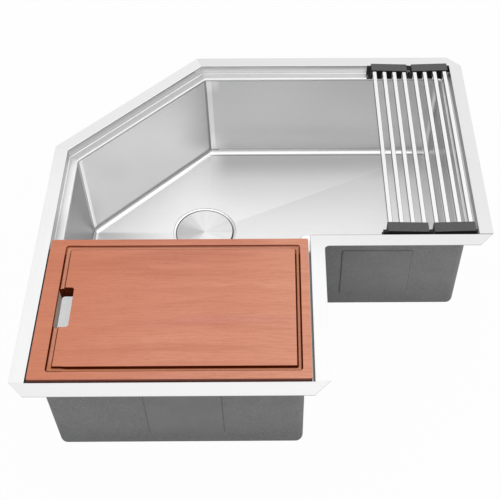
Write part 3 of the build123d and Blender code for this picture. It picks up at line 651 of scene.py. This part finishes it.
bench, entry, leave = new_group(
    "pebbles",
    {"Vector": ("Vector", None), "Size": ("Float", 1.2)},
    ("Tone", "Height"),
)
frequency = bench.math("DIVIDE", 1000.0, entry["Size"])
bumps = bench.noise(entry["Vector"], frequency, roughness=0.55)
swell = bench.noise(entry["Vector"], bench.times(frequency, 0.22))
bench.feed(leave["Tone"], bumps)
bench.feed(leave["Height"], bench.plus(bench.times(bumps, 0.65), bench.times(swell, 0.35)))


def pebbled(name, tone, size, relief, roughness):
    """A matte pebbled skin. Its size and relief are in millimetres."""
    material, bench = new_material(name)
    pebbles = place_group(bench, "pebbles", Vector=bench.place(), Size=size)
    colour = bench.mottled(pebbles["Tone"], *two_tones(tone, PEBBLE_CONTRAST))
    inputs = {"Base Color": colour, "Roughness": roughness, "Specular IOR Level": DULL}
    bench.finish(inputs, pebbles["Height"], relief)
    return material


# Metres: the skin's upper edge, its two faces outside the bowl, the rounded foot, and the bare drain.
SKIN_TOP = -0.0205
SKIN_OUT = 0.0025
SKIN_IN = 0.0014
FOOT_REACH = 0.009
BARE_ROUND_DRAIN = 0.058
WALL_RINGS = 12
FOOT_RINGS = 9
FLOOR_RINGS = 14
ARC_STEPS = 9
OUTLINE_SPACING = 0.012


def rounded_outline(corners, radius):
    """A closed outline with rounded corners: its points, and its normals, which point out of the outline.

    At each corner the side turns by some angle. The arc's centre lies radius away from both sides, and
    the normal turns from one side's to the next in even steps. A point is the centre plus radius times
    the normal, or minus it at an inner corner. Between two arcs the points are evenly spaced.
    """
    points, normals = [], []
    sides = unit_sides(corners)
    for index, corner in enumerate(corners):
        before, following = sides[index - 1], sides[index]
        turn = np.arctan2(before[0] * following[1] - before[1] * following[0], before @ following)
        outward = np.array((before[1], -before[0]))
        bend = np.sign(turn) * radius
        centre = corner - before * radius * np.tan(abs(turn) / 2) - bend * outward
        angle = np.linspace(0, turn, ARC_STEPS)
        turned = np.column_stack(
            (
                outward[0] * np.cos(angle) - outward[1] * np.sin(angle),
                outward[0] * np.sin(angle) + outward[1] * np.cos(angle),
            )
        )
        points.append(centre + bend * turned)
        normals.append(turned)
    whole_points, whole_normals = [], []
    for index, arc in enumerate(points):
        start, end = arc[-1], points[(index + 1) % len(points)][0]
        count = max(int(np.linalg.norm(end - start) / OUTLINE_SPACING), 2)
        share = np.linspace(0, 1, count, endpoint=False)[1:, None]
        whole_points += [arc, start + (end - start) * share]
        whole_normals += [normals[index], np.repeat(normals[index][-1:], count - 1, axis=0)]
    return np.concatenate(whole_points), np.concatenate(whole_normals)


def closed_faces(rows, columns):
    """The faces of a grid of points that closes on itself both ways."""
    row, column = np.meshgrid(np.arange(rows), np.arange(columns), indexing="ij")
    below, beside = (row + 1) % rows, (column + 1) % columns
    corners = ((row, column), (below, column), (below, beside), (row, beside))
    return np.stack([(first * columns + second).ravel() for first, second in corners], axis=1)


def basin_side(outline, normals, drain, grow):
    """One side of the skin as rings of points, from the top of the walls to the drain.

    A ring is the outline plus a distance along its normals. The distance is grow down the wall, then
    follows a quarter circle round the foot. From there every point moves in a straight line towards the
    drain, and sinks in proportion to the way it has gone.
    """
    turn = np.linspace(0, np.arccos((BOWL_ROUND - FOOT_REACH) / (BOWL_ROUND + grow)), FOOT_RINGS)
    wall = np.linspace(SKIN_TOP, BOWL_FOOT, WALL_RINGS, endpoint=False)
    distance = np.concatenate([np.full(WALL_RINGS, grow), (BOWL_ROUND + grow) * np.cos(turn) - BOWL_ROUND])
    level = np.concatenate([wall, BOWL_FOOT - (BOWL_ROUND + grow) * np.sin(turn)])
    rings = outline[None] + distance[:, None, None] * normals[None]
    walls = np.dstack([rings, np.broadcast_to(level[:, None], rings.shape[:2])])
    away = rings[-1] - drain
    reach = np.linalg.norm(away, axis=1)
    share = np.linspace(0, 1, FLOOR_RINGS)[1:, None]
    run = reach + (BARE_ROUND_DRAIN - reach) * share
    sunk = level[-1] - FLOOR_FALL * (1 - run / reach)
    spokes = drain + (away / reach[:, None])[None] * run[:, :, None]
    return np.concatenate([walls, np.dstack([spokes, sunk])])


def add_skin():
    """The sprayed skin: its outside, then its inside taken backwards, joined at the top and at the drain."""
    outline, normals = rounded_outline(plan_corners(BOWL_INSET), BOWL_ROUND)
    drain = drain_centre()
    outside = basin_side(outline, normals, drain, SKIN_OUT)
    inside = basin_side(outline, normals, drain, SKIN_IN)[::-1]
    rings = np.concatenate([outside, inside])
    return add_mesh("coating_skin", rings.reshape(-1, 3), closed_faces(*rings.shape[:2]))


PAD_FACES = {
    "sound_pad_left_arm_front": (0, -1, 0),
    "sound_pad_left_arm_inner": (1, 0, 0),
    "sound_pad_left_arm_outer": (-1, 0, 0),
    "sound_pad_left_corner": (-1, 0, 0),
    "sound_pad_diagonal": (-0.70711, 0.70711, 0),
    "sound_pad_back_corner": (0, 1, 0),
    "sound_pad_right_arm_back": (0, 1, 0),
    "sound_pad_right_arm_end": (1, 0, 0),
    "sound_pad_right_arm_front": (0, -1, 0),
    "sound_pad_floor_left_arm": (0, -0.0199, -0.9998),
    "sound_pad_floor_right_arm": (0.0199, 0, -0.9998),
}
PAD_RUBBER = (0.05, 0.05, 0.05, 1)
# Metres: a cover's half width, how far it stands out, its corners' rounding, and its skirt past the flank.
PAD_HALF = 0.061
PAD_PROUD = 0.002
PAD_ROUND = 0.003
PAD_SKIRT = 0.004
# Metres from that half width: the fine rows reach this far in, and the coarse ones start here.
FINE_TO, FINE_ROWS = 0.003, 13
COARSE_FROM, COARSE_ROWS = 0.006, 7
# Metres: the flank's width, the wave in its edge, and how far skirt, outermost edge and back are sunk.
PAD_FLANK = 0.0032
PAD_WAVE = 0.00035
WAVES_ACROSS, WAVES_UP = 310, 270
SKIRT_SUNK = 0.0002
EDGE_SUNK = 0.0003
BACK_SUNK = 0.0009
# Metres: where the edge attribute, which places painted shade on a pad's outline, peaks outside the
# rounded square, and how far it spreads.
PEAK_OUT = 0.0012
PEAK_SPREAD = 0.0011


def add_pad_cover(node, facing):
    """The skin where it runs over one pad: a low square plateau with a soft, slightly wavy edge.

    The height is a smooth step of the distance in from a rounded square. Under it a flat back closes
    the piece inside the skin. The edge attribute peaks where the flank meets the wall, and places the
    coating's painted shade along the pad's outline.
    """
    out = np.array(facing) / np.linalg.norm(facing)
    up = np.array((0.0, 1.0, 0.0)) if abs(out[2]) > 0.5 else np.array((0.0, 0.0, 1.0))
    across = np.cross(up, out)
    across /= np.linalg.norm(across)
    up = np.cross(out, across)
    fine = np.linspace(-PAD_SKIRT, FINE_TO, FINE_ROWS)
    reach = PAD_HALF - np.concatenate([fine, np.linspace(COARSE_FROM, PAD_HALF, COARSE_ROWS)])
    line = np.concatenate([-reach, reach[-2::-1]])
    a, b = np.meshgrid(line, line, indexing="ij")
    waves = np.sin(a * WAVES_ACROSS + facing[0] * 3) + np.sin(b * WAVES_UP + facing[1] * 5)
    past_a = np.abs(a) - (PAD_HALF - PAD_ROUND)
    past_b = np.abs(b) - (PAD_HALF - PAD_ROUND)
    corner = np.hypot(np.maximum(past_a, 0), np.maximum(past_b, 0))
    depth = PAD_ROUND - corner - np.minimum(np.maximum(past_a, past_b), 0) + PAD_WAVE * waves
    rise = np.clip((depth + PAD_FLANK / 2) / PAD_FLANK, 0, 1)
    height = -SKIRT_SUNK + (PAD_PROUD + SKIRT_SUNK) * rise * rise * (3 - 2 * rise)
    height[[0, -1], :] = height[:, [0, -1]] = -EDGE_SUNK
    low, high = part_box(node)
    centre = np.array((low + high) / 2)
    flat = centre + a[..., None] * across + b[..., None] * up
    front = flat + height[..., None] * out
    back = flat - BACK_SUNK * out
    count = len(line)
    row, column = np.meshgrid(np.arange(count - 1), np.arange(count - 1), indexing="ij")
    first = (row * count + column).ravel()
    quads = np.stack([first, first + count, first + count + 1, first + 1], axis=1)
    whole = count * count
    edge = np.concatenate(
        [
            np.arange(count - 1) * count,
            (count - 1) * count + np.arange(count - 1),
            np.arange(count - 1, 0, -1) * count + count - 1,
            np.arange(count - 1, 0, -1),
        ]
    )
    ahead = np.roll(edge, -1)
    sides = np.stack([edge, edge + whole, ahead + whole, ahead], axis=1)
    faces = np.concatenate([quads, quads[:, ::-1] + whole, sides])
    points = np.concatenate([front, back]).reshape(-1, 3)
    piece = add_mesh(node.replace("sound_pad", "coating_over_pad"), points, faces)
    mark = piece.data.attributes.new("edge", "FLOAT", "POINT")
    near = np.exp(-(((depth + PEAK_OUT) / PEAK_SPREAD) ** 2))
    mark.data.foreach_set("value", np.concatenate([near.ravel(), np.zeros(whole)]))
    return piece


COATING_DARK = (0.158, 0.159, 0.161, 1)
COATING_LIGHT = (0.240, 0.241, 0.244, 1)
PATCH_TONE = (0.235, 0.236, 0.238, 1)
SPECK_TONE = (0.30, 0.30, 0.30, 1)
PAD_EDGE_SHADE = (0.055, 0.055, 0.056, 1)

coating, bench = new_material("grey_coating")
place = bench.place()
x, y, level = bench.split(place)
pebbles = place_group(bench, "pebbles", Vector=place, Size=1.4)
patches = bench.step(bench.noise(place, 28.0, 3.0, 0.6), 0.35, 0.75)
specks = bench.step(bench.noise(place, 210.0, 1.0, 0.5), 0.66, 0.74)
near_pad = bench.put("Attribute", attribute_name="edge").outputs["Fac"]
colour = bench.mottled(pebbles["Tone"], COATING_DARK, COATING_LIGHT)
colour = bench.blend(bench.times(patches, 0.5), colour, PATCH_TONE)
colour = bench.blend(bench.times(specks, 0.5), colour, SPECK_TONE)
# Painted shade towards the bottom, and painted light on the front of the right arm.
low_down = bench.step(level, -0.12, -0.230)
short_front = bench.times(bench.step(x, 0.0, 0.04), bench.step(y, 0.10, 0.06))
colour = toned(bench, colour, [(low_down, 0.74), (short_front, 1.12)])
# Painted shade along the pads' outlines.
colour = bench.blend(bench.times(near_pad, 0.75), colour, PAD_EDGE_SHADE)
bench.finish({"Base Color": colour, "Roughness": 0.75, "Specular IOR Level": DULL}, pebbles["Height"], 0.35)

for piece in [add_skin()] + [add_pad_cover(node, facing) for node, facing in PAD_FACES.items()]:
    piece.data.materials.append(coating)
    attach(piece, "sink")
    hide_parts("sound_coating")
dress(pebbled("pad_rubber", PAD_RUBBER, 2.0, 0.1, 0.8), *PAD_FACES)


# ---------------------------------------------------------------- recess edge
# The pan is pressed down round the drain to take the strainer's flange. The press leaves a rolled edge
# round the recess, which follows the slopes of the floor.

ROLL_COLUMNS = 180
ROLL_TONE = (0.99, 0.99, 0.99, 1)
SHADE_FROM = 0.030
# The section from the floor outside over a low crest and down into the recess: radius and rise in mm.
ROLL_SECTION = np.array(
    [
        (63.4, -0.10), (62.7, 0.12), (62.0, 0.42), (61.4, 0.62), (60.8, 0.66), (60.0, 0.56), (59.0, 0.36),
        (58.3, 0.18), (57.95, 0.02), (57.80, -0.25), (57.76, -0.80), (58.6, -0.80), (60.5, -0.70),
    ]
)


def add_recess_roll():
    """The rolled edge: a low crested section carried round the drain.

    For each direction the floor's height at the recess is worked out from the way to the nearest side of
    the bowl, and the section's rise is added to it.
    """
    drain = drain_centre()
    angle = np.linspace(0, 2 * np.pi, ROLL_COLUMNS, endpoint=False)
    heading = np.column_stack([np.cos(angle), np.sin(angle)])
    corners = plan_corners(BOWL_INSET + BOWL_ROUND)
    sides = np.roll(corners, -1, axis=0) - corners
    across = heading[:, :1] * sides[:, 1] - heading[:, 1:] * sides[:, 0]
    to_corner = corners - drain
    with np.errstate(divide="ignore", invalid="ignore"):
        reach = (to_corner[:, 0] * sides[:, 1] - to_corner[:, 1] * sides[:, 0]) / across
        share = (to_corner[:, 0] * heading[:, 1:] - to_corner[:, 1] * heading[:, :1]) / across
    hit = (reach > 0) & (share >= 0) & (share <= 1)
    reach = np.where(hit, reach, np.inf).min(axis=1)
    radius, rise = ROLL_SECTION.T / 1000
    edge_height = -BOWL_DEPTH - FLOOR_FALL * (1 - radius[:, None] / reach)
    points = np.dstack(
        [
            drain[0] + radius[:, None] * heading[:, 0],
            drain[1] + radius[:, None] * heading[:, 1],
            edge_height + rise[:, None],
        ]
    )
    return add_mesh("recess_roll", points.reshape(-1, 3), closed_faces(*points.shape[:2])[:, ::-1])


def roll_marks(bench, colour, place):
    """The roll's right side lies in the shade of the cover's edge."""
    low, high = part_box("drain_cover")
    shade = bench.step(bench.split(place)[0], (low.x + high.x) / 2 + SHADE_FROM, high.x)
    return toned(bench, colour, [(shade, 0.75)])


recess_roll = add_recess_roll()
recess_roll.data.materials.append(steel("recess_steel", ROLL_TONE, 0.14, relief=0.0, marks=roll_marks))
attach(recess_roll, "sink")


# ---------------------------------------------------------------- drain
# The strainer body is pressed and turned stainless, clamped to the floor by a plated locknut over
# rubber and fibre washers. The plated outlet tube hangs from a coupling nut.

RUBBER_TONE = (0.02, 0.02, 0.021, 1)
FIBRE_TONE = (0.30, 0.22, 0.14, 1)
STRAINER_TONE = (0.76, 0.76, 0.77, 1)
PLATED_TONE = (0.75, 0.75, 0.77, 1)

black_rubber = pebbled("black_rubber", RUBBER_TONE, 0.9, 0.05, 0.55)
dress(black_rubber, "flange_seal", "rubber_washer", "tailpiece_washer")
dress(steel("strainer_steel", STRAINER_TONE, 0.26, spacing=0.5, length=25.0), "strainer_body")
dress(pebbled("fibre", FIBRE_TONE, 0.8, 0.04, 0.85), "friction_washer")
plated_brass = steel("plated_brass", PLATED_TONE, 0.14, spacing=2.0, length=8.0)
dress(plated_brass, "locknut", "coupling_nut", "tailpiece")


# ---------------------------------------------------------------- basket and cover
# The lift-out basket is pressed stainless with a riveted post and a rubber stopper. The flat cover
# over it is turned, so its grain runs in rings. The fan of light from its middle is a painted highlight,
# with a little anisotropy, and its edge has painted shade on the right.

BASKET_TONE = (0.78, 0.78, 0.79, 1)
FAN_SHADE = (0.60, 0.60, 0.605, 1)
FAN_HIGHLIGHT = (0.99, 0.99, 0.99, 1)
RING_TONE = (0.55, 0.55, 0.555, 1)
COVER_EDGE_SHADE = (0.01, 0.01, 0.01, 1)
COVER_EDGE = (0.0552, 0.0558)
RING_PITCH = 0.45

basket_steel = steel("basket_steel", BASKET_TONE, 0.25, spacing=0.5, length=25.0)
dress(basket_steel, "strainer_basket", "basket_post")
dress(black_rubber, "basket_stopper", "cover_feet")

turned, bench = new_material("turned_cover")
cover_low, cover_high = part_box("drain_cover")
centre = tuple((cover_low + cover_high) / 2)
shifted = bench.put("VectorMath", {0: bench.place(), 1: centre}, operation="SUBTRACT").outputs[0]
flat = bench.scaled(shifted, (1, 1, 0))
radius = bench.put("VectorMath", {0: flat}, operation="LENGTH").outputs["Value"]
outward = bench.put("VectorMath", {0: flat}, operation="NORMALIZE").outputs[0]
to_right, to_back, _ = bench.split(outward)
rings = bench.noise(bench.join(radius), 1000 / RING_PITCH, 2.0, 0.6)
# The fan is a painted highlight, bright along Y and to the right, with finer spokes from noise on the
# direction outwards.
bow = bench.math("POWER", to_back, 2.0)
spokes = bench.noise(outward, 3.2, 3.0, 0.6)
fan = bench.plus(bench.times(bow, 0.45), bench.times(spokes, 0.55))
fan = bench.plus(fan, bench.times(bench.math("MAXIMUM", to_right, 0.0), 0.38))
tone = bench.blend(bench.step(fan, 0.15, 0.85), FAN_SHADE, FAN_HIGHLIGHT)
tone = bench.blend(bench.times(bench.step(rings, 0.3, 0.7), 0.12), tone, RING_TONE)
# Painted shade on the cover's edge, strongest on its right side.
edge_share = bench.times(bench.step(radius, *COVER_EDGE), bench.step(to_right, -0.3, 0.5, 0.35, 1.0))
tone = bench.blend(edge_share, tone, COVER_EDGE_SHADE)
look = {"Base Color": tone, "Metallic": 1.0, "Roughness": 0.34, "Anisotropic": 0.4, "Tangent": outward}
bench.finish(look, rings, 0.002)
dress(turned, "drain_cover")


# ---------------------------------------------------------------- cutting board
# One panel of reddish hardwood, planed and oiled, with its grain along the length. The juice groove
# was cut with a hot router bit, which left its walls scorched dark brown.

WOOD_DARK = (0.50, 0.155, 0.088, 1)
WOOD_MIDDLE = (0.665, 0.252, 0.152, 1)
WOOD_LIGHT = (0.775, 0.350, 0.222, 1)
WOOD_PINK = (0.58, 0.205, 0.165, 1)
WOOD_RED = (0.62, 0.200, 0.100, 1)
SCORCH = (0.075, 0.009, 0.001, 1)
TOASTED = (0.60, 0.22, 0.055, 1)
PLANED_AND_LIT = (0.95, 0.46, 0.30, 1)
SIDE_SHADE_TONE = (0.085, 0.012, 0.007, 1)
SLOT_SIDE = (0.34, 0.24, 0.19, 1)
PORE_TONE = (0.26, 0.075, 0.040, 1)
# How far the grain sways, in metres, and the growth rings' width and unevenness, in millimetres and rings.
SWAY = 0.030
RING_WIDTH = 34
RING_SHIFT = 2.6

bench, entry, leave = new_group(
    "wood grain",
    {"Vector": ("Vector", None)},
    ("Band", "Line", "Ring", "Pore", "Pink"),
)
# The place sways sideways along the board, and every part of the grain follows it.
sway = bench.noise(entry["Vector"], (2.6, 9.0, 9.0), 3.0)
drift = bench.join(y=bench.times(bench.minus(sway, 0.5), SWAY))
bent = bench.put("VectorMath", {0: entry["Vector"], 1: drift}, operation="ADD").outputs[0]
band = bench.noise(bent, (1.6, 34.0, 34.0), 3.0, 0.55)
line = bench.noise(bent, (22.0, 480.0, 480.0), 4.0, 0.7)
pore = bench.noise(bent, (70.0, 900.0, 900.0), 2.0, 0.6)
pink = bench.noise(bent, (1.2, 20.0, 20.0))
# Growth rings: the place across the board, in ring widths, runs up a ramp that ends abruptly.
uneven = bench.noise(bent, (3.0, 16.0, 16.0))
across = bench.times(bench.split(bent)[1], 1000 / RING_WIDTH)
ramp = bench.math("FRACT", bench.plus(across, bench.times(uneven, RING_SHIFT)))
bench.feed(leave["Band"], band)
bench.feed(leave["Line"], line)
bench.feed(leave["Ring"], bench.times(bench.step(ramp, 0.45, 0.93), bench.step(ramp, 1.0, 0.93)))
bench.feed(leave["Pore"], bench.step(pore, 0.60, 0.72))
bench.feed(leave["Pink"], bench.step(pink, 0.50, 0.70))

GROOVE_SIDE = 0.027
GROOVE_INSET = 0.0142
GROOVE_WIDTH = 0.008
GROOVE_OUTER_ROUND = 0.0045
GROOVE_INNER_ROUND = 0.001
SLOT_HALF = (0.01175, 0.0385)
SLOT_ROUND = 0.005
BOARD_ROUND = 0.003
board_low, board_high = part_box("cutting_board")
board_middle = (board_low + board_high) / 2
board_half = ((board_high.x - board_low.x) / 2, (board_high.y - board_low.y) / 2)
SLOT_CENTRE = (-0.40425, board_middle.y - 0.0024)


def inside_round_box(bench, x, y, centre, half, radius):
    """How far a place is inside a rounded rectangle, in metres, below zero outside it.

    The place is folded into one quarter. Past the straight sides the distance to the rounding's centre
    counts, and elsewhere the distance to the nearer side.
    """
    past = []
    for value, middle, reach in ((x, centre[0], half[0]), (y, centre[1], half[1])):
        folded = bench.math("ABSOLUTE", bench.minus(value, middle))
        past.append(bench.minus(folded, reach - radius))
    squares = [bench.math("POWER", bench.math("MAXIMUM", value, 0.0), 2.0) for value in past]
    corner = bench.math("SQRT", bench.plus(*squares))
    nearer = bench.math("MINIMUM", bench.math("MAXIMUM", *past), 0.0)
    return bench.minus(bench.minus(radius, corner), nearer)


wood, bench = new_material("board_wood")
place = bench.place()
grain = place_group(bench, "wood grain", Vector=place)
x, y, z = bench.split(place)
to_front = bench.step(y, board_high.y, board_low.y, -0.10, 0.20)
colour = bench.blend(bench.step(grain["Band"], 0.24, 0.48), WOOD_DARK, WOOD_MIDDLE)
for share, tone in (
    (bench.times(bench.step(grain["Band"], 0.50, 0.80), 0.6), WOOD_LIGHT),
    (bench.times(grain["Pink"], 0.45), WOOD_PINK),
    (bench.math("MAXIMUM", to_front, 0.0), WOOD_LIGHT),
    (bench.math("MAXIMUM", bench.times(to_front, -1.0), 0.0), WOOD_DARK),
    (bench.times(grain["Ring"], 0.22), WOOD_DARK),
    (bench.step(x, -0.20, board_low.x, 0.0, 0.70), WOOD_RED),
    (bench.step(x, -0.16, board_high.x, 0.0, 0.45), WOOD_LIGHT),
    (bench.times(bench.step(grain["Line"], 0.60, 0.32), 0.42), WOOD_DARK),
    (bench.times(grain["Pore"], 0.38), PORE_TONE),
):
    colour = bench.blend(share, colour, tone)

# The groove: from_edge is how far a place is inside it, and its bottom is toasted towards the front and
# the right, and elsewhere is planed wood painted lighter as painted light against the groove's shade. Its
# walls are burnt, but less so at the back.
groove_left, groove_right = board_low.x + GROOVE_SIDE, board_high.x - GROOVE_INSET
groove_centre = ((groove_left + groove_right) / 2, board_middle.y)
groove_half = ((groove_right - groove_left) / 2, board_half[1] - GROOVE_INSET)
inner_half = tuple(half - GROOVE_WIDTH for half in groove_half)
from_outer = inside_round_box(bench, x, y, groove_centre, groove_half, GROOVE_OUTER_ROUND)
from_inner = inside_round_box(bench, x, y, groove_centre, inner_half, GROOVE_INNER_ROUND)
from_edge = bench.math("MINIMUM", from_outer, bench.times(from_inner, -1.0))
below = bench.minus(board_high.z, z)
near_top = bench.step(below, 0.0060, 0.0050)
near_front = bench.step(y, board_low.y + 0.040, board_low.y + 0.020)
near_right = bench.step(x, board_high.x - 0.040, board_high.x - 0.020)
bottom_tone = bench.blend(bench.math("MAXIMUM", near_front, near_right), PLANED_AND_LIT, TOASTED)
bottom = bench.times(bench.step(from_edge, 0.0, 0.0012), 0.72, bench.step(below, 0.0036, 0.0044), near_top)
colour = bench.blend(bottom, colour, bottom_tone)
on_left = bench.step(x, board_low.x + 0.060, board_low.x + 0.045)
burnt_reach = bench.step(x, board_low.x + 0.045, board_low.x + 0.060, 0.0018, 0.0030)
burnt_from = bench.step(bench.plus(from_edge, bench.times(on_left, 0.0005)), -0.0008, -0.0003)
burnt_to = bench.step(bench.minus(from_edge, burnt_reach), 0.0, -0.0016)
at_back = bench.step(y, board_high.y - 0.034, board_high.y - 0.028)
back_wall = bench.step(y, board_high.y - 0.020, board_high.y - 0.016)
back_foot = bench.times(back_wall, bench.step(below, 0.0020, 0.0032))
burnt = bench.times(burnt_from, burnt_to, bench.faded(back_foot, 0.2), bench.faded(at_back, 0.7), near_top)
colour = bench.blend(burnt, colour, SCORCH)

# The slot's walls, dark at the far end, and painted shade on the board's sides.
slot_back = SLOT_CENTRE[1] + SLOT_HALF[1]
in_slot = inside_round_box(bench, x, y, SLOT_CENTRE, SLOT_HALF, SLOT_ROUND)
slot_wall = bench.times(bench.step(in_slot, -0.0006, -0.0002), bench.step(below, 0.0006, 0.0016))
slot_end = bench.step(y, slot_back - 0.0065, slot_back - 0.0045)
colour = bench.blend(bench.times(slot_wall, 0.95), colour, bench.blend(slot_end, SLOT_SIDE, SCORCH))
from_side = inside_round_box(bench, x, y, board_middle, board_half, BOARD_ROUND)
on_side = bench.times(bench.step(from_side, 0.0007, 0.0001), bench.step(below, 0.0003, 0.0012))
colour = bench.blend(bench.times(on_side, 0.9), colour, SIDE_SHADE_TONE)
scorched = bench.math("MAXIMUM", burnt, bench.times(slot_wall, slot_end))
look = {
    "Base Color": colour,
    "Roughness": bench.step(grain["Line"], 0.3, 0.7, 0.50, 0.40),
    "Specular IOR Level": bench.step(scorched, 0.0, 0.6, 0.4, 0.0),
}
bench.finish(look, bench.minus(grain["Line"], bench.times(grain["Pore"], 0.5)), 0.05)
dress(wood, "cutting_board")


# ---------------------------------------------------------------- drying rack
# Eight satin stainless tubes in two halves, pushed into moulded grey caps. Soft black rails under the
# caps grip the ledge, and steel pins join the halves at the fold.

# The rods' tops are painted light and their upper sides painted shade, lighter again lower down.
ROD_TOP_DARK = (0.93, 0.93, 0.93, 1)
ROD_TOP_LIGHT = (0.98, 0.98, 0.98, 1)
ROD_SIDE_SHADE = (0.10, 0.10, 0.10, 1)
ROD_LOWER_SIDE_LIT = (0.78, 0.78, 0.78, 1)
LOWER_SIDE_FROM = 0.0040
# The caps' tops are painted light over their mottle, and their sides are painted shade.
CAP_TOP_DARK = (0.038, 0.038, 0.039, 1)
CAP_TOP_LIGHT = (0.126, 0.126, 0.128, 1)
CAP_SIDE_SHADE = (0.006, 0.006, 0.006, 1)
STRAP_TONE = (0.012, 0.012, 0.0125, 1)
PIN_TONE = (0.10, 0.10, 0.10, 1)


def along_rods(bench, place):
    """Streaks along Y."""
    x, y, z = bench.split(place)
    return bench.join(y, x, z)


def facing_up(bench, low, high):
    """1 on faces that look up when the rack lies on the ledge, 0 on upright and lower ones."""
    return bench.step(bench.split(bench.put("TexCoord").outputs["Normal"])[2], low, high)


rods = [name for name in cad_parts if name.startswith("rack_rod")]
caps = [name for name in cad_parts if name.startswith("rack_cap")]
straps = [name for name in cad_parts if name.startswith("rack_strap")]
pins = [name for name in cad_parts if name.startswith("rack_hinge_pin")]

rod_steel, bench = new_material("rod_steel")
place = bench.place()
grain = place_group(bench, "brushed grain", Vector=along_rods(bench, place), Spacing=0.4, Length=40.0)
top_tone = bench.mottled(grain["Tone"], ROD_TOP_DARK, ROD_TOP_LIGHT)
rod_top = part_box("rack_rod_left_1")[1].z
lower = bench.step(bench.split(place)[2], rod_top - LOWER_SIDE_FROM, rod_top - LOWER_SIDE_FROM - 0.0006)
# Painted light on the tops, painted shade on the upper sides and painted light lower down.
tone = bench.blend(facing_up(bench, 0.80, 0.97), bench.blend(lower, ROD_SIDE_SHADE, ROD_LOWER_SIDE_LIT), top_tone)
bench.finish({"Base Color": tone, "Metallic": 1.0, "Roughness": 0.2}, grain["Height"], 0.002)
dress(rod_steel, *rods)

cap_grey, bench = new_material("cap_grey")
pebbles = place_group(bench, "pebbles", Vector=bench.place(), Size=0.8)
top_tone = bench.mottled(pebbles["Tone"], CAP_TOP_DARK, CAP_TOP_LIGHT)
# Tops are painted lighter and sides painted shade.
top = facing_up(bench, 0.55, 0.90)
look = {
    "Base Color": bench.blend(top, CAP_SIDE_SHADE, top_tone),
    "Roughness": 0.5,
    "Specular IOR Level": bench.step(top, 0.0, 1.0, 0.1, 0.4),
}
bench.finish(look, pebbles["Height"], 0.06)
dress(cap_grey, *caps)
dress(pebbled("strap_black", STRAP_TONE, 1.1, 0.05, 0.6), *straps)
dress(steel("pin_steel", PIN_TONE, 0.30, spacing=0.3, length=6.0), *pins)


# ---------------------------------------------------------------- whole picture
# The steel in the photo reflects neither the board nor the rack, apart from its last tube, so its
# reflections leave them out. The colours stay as they are worked out, with no film look on top.

for node in rods[:-1] + caps + straps + pins + ["cutting_board"]:
    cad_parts[node].visible_glossy = False

bpy.context.scene.view_settings.view_transform = "Standard"
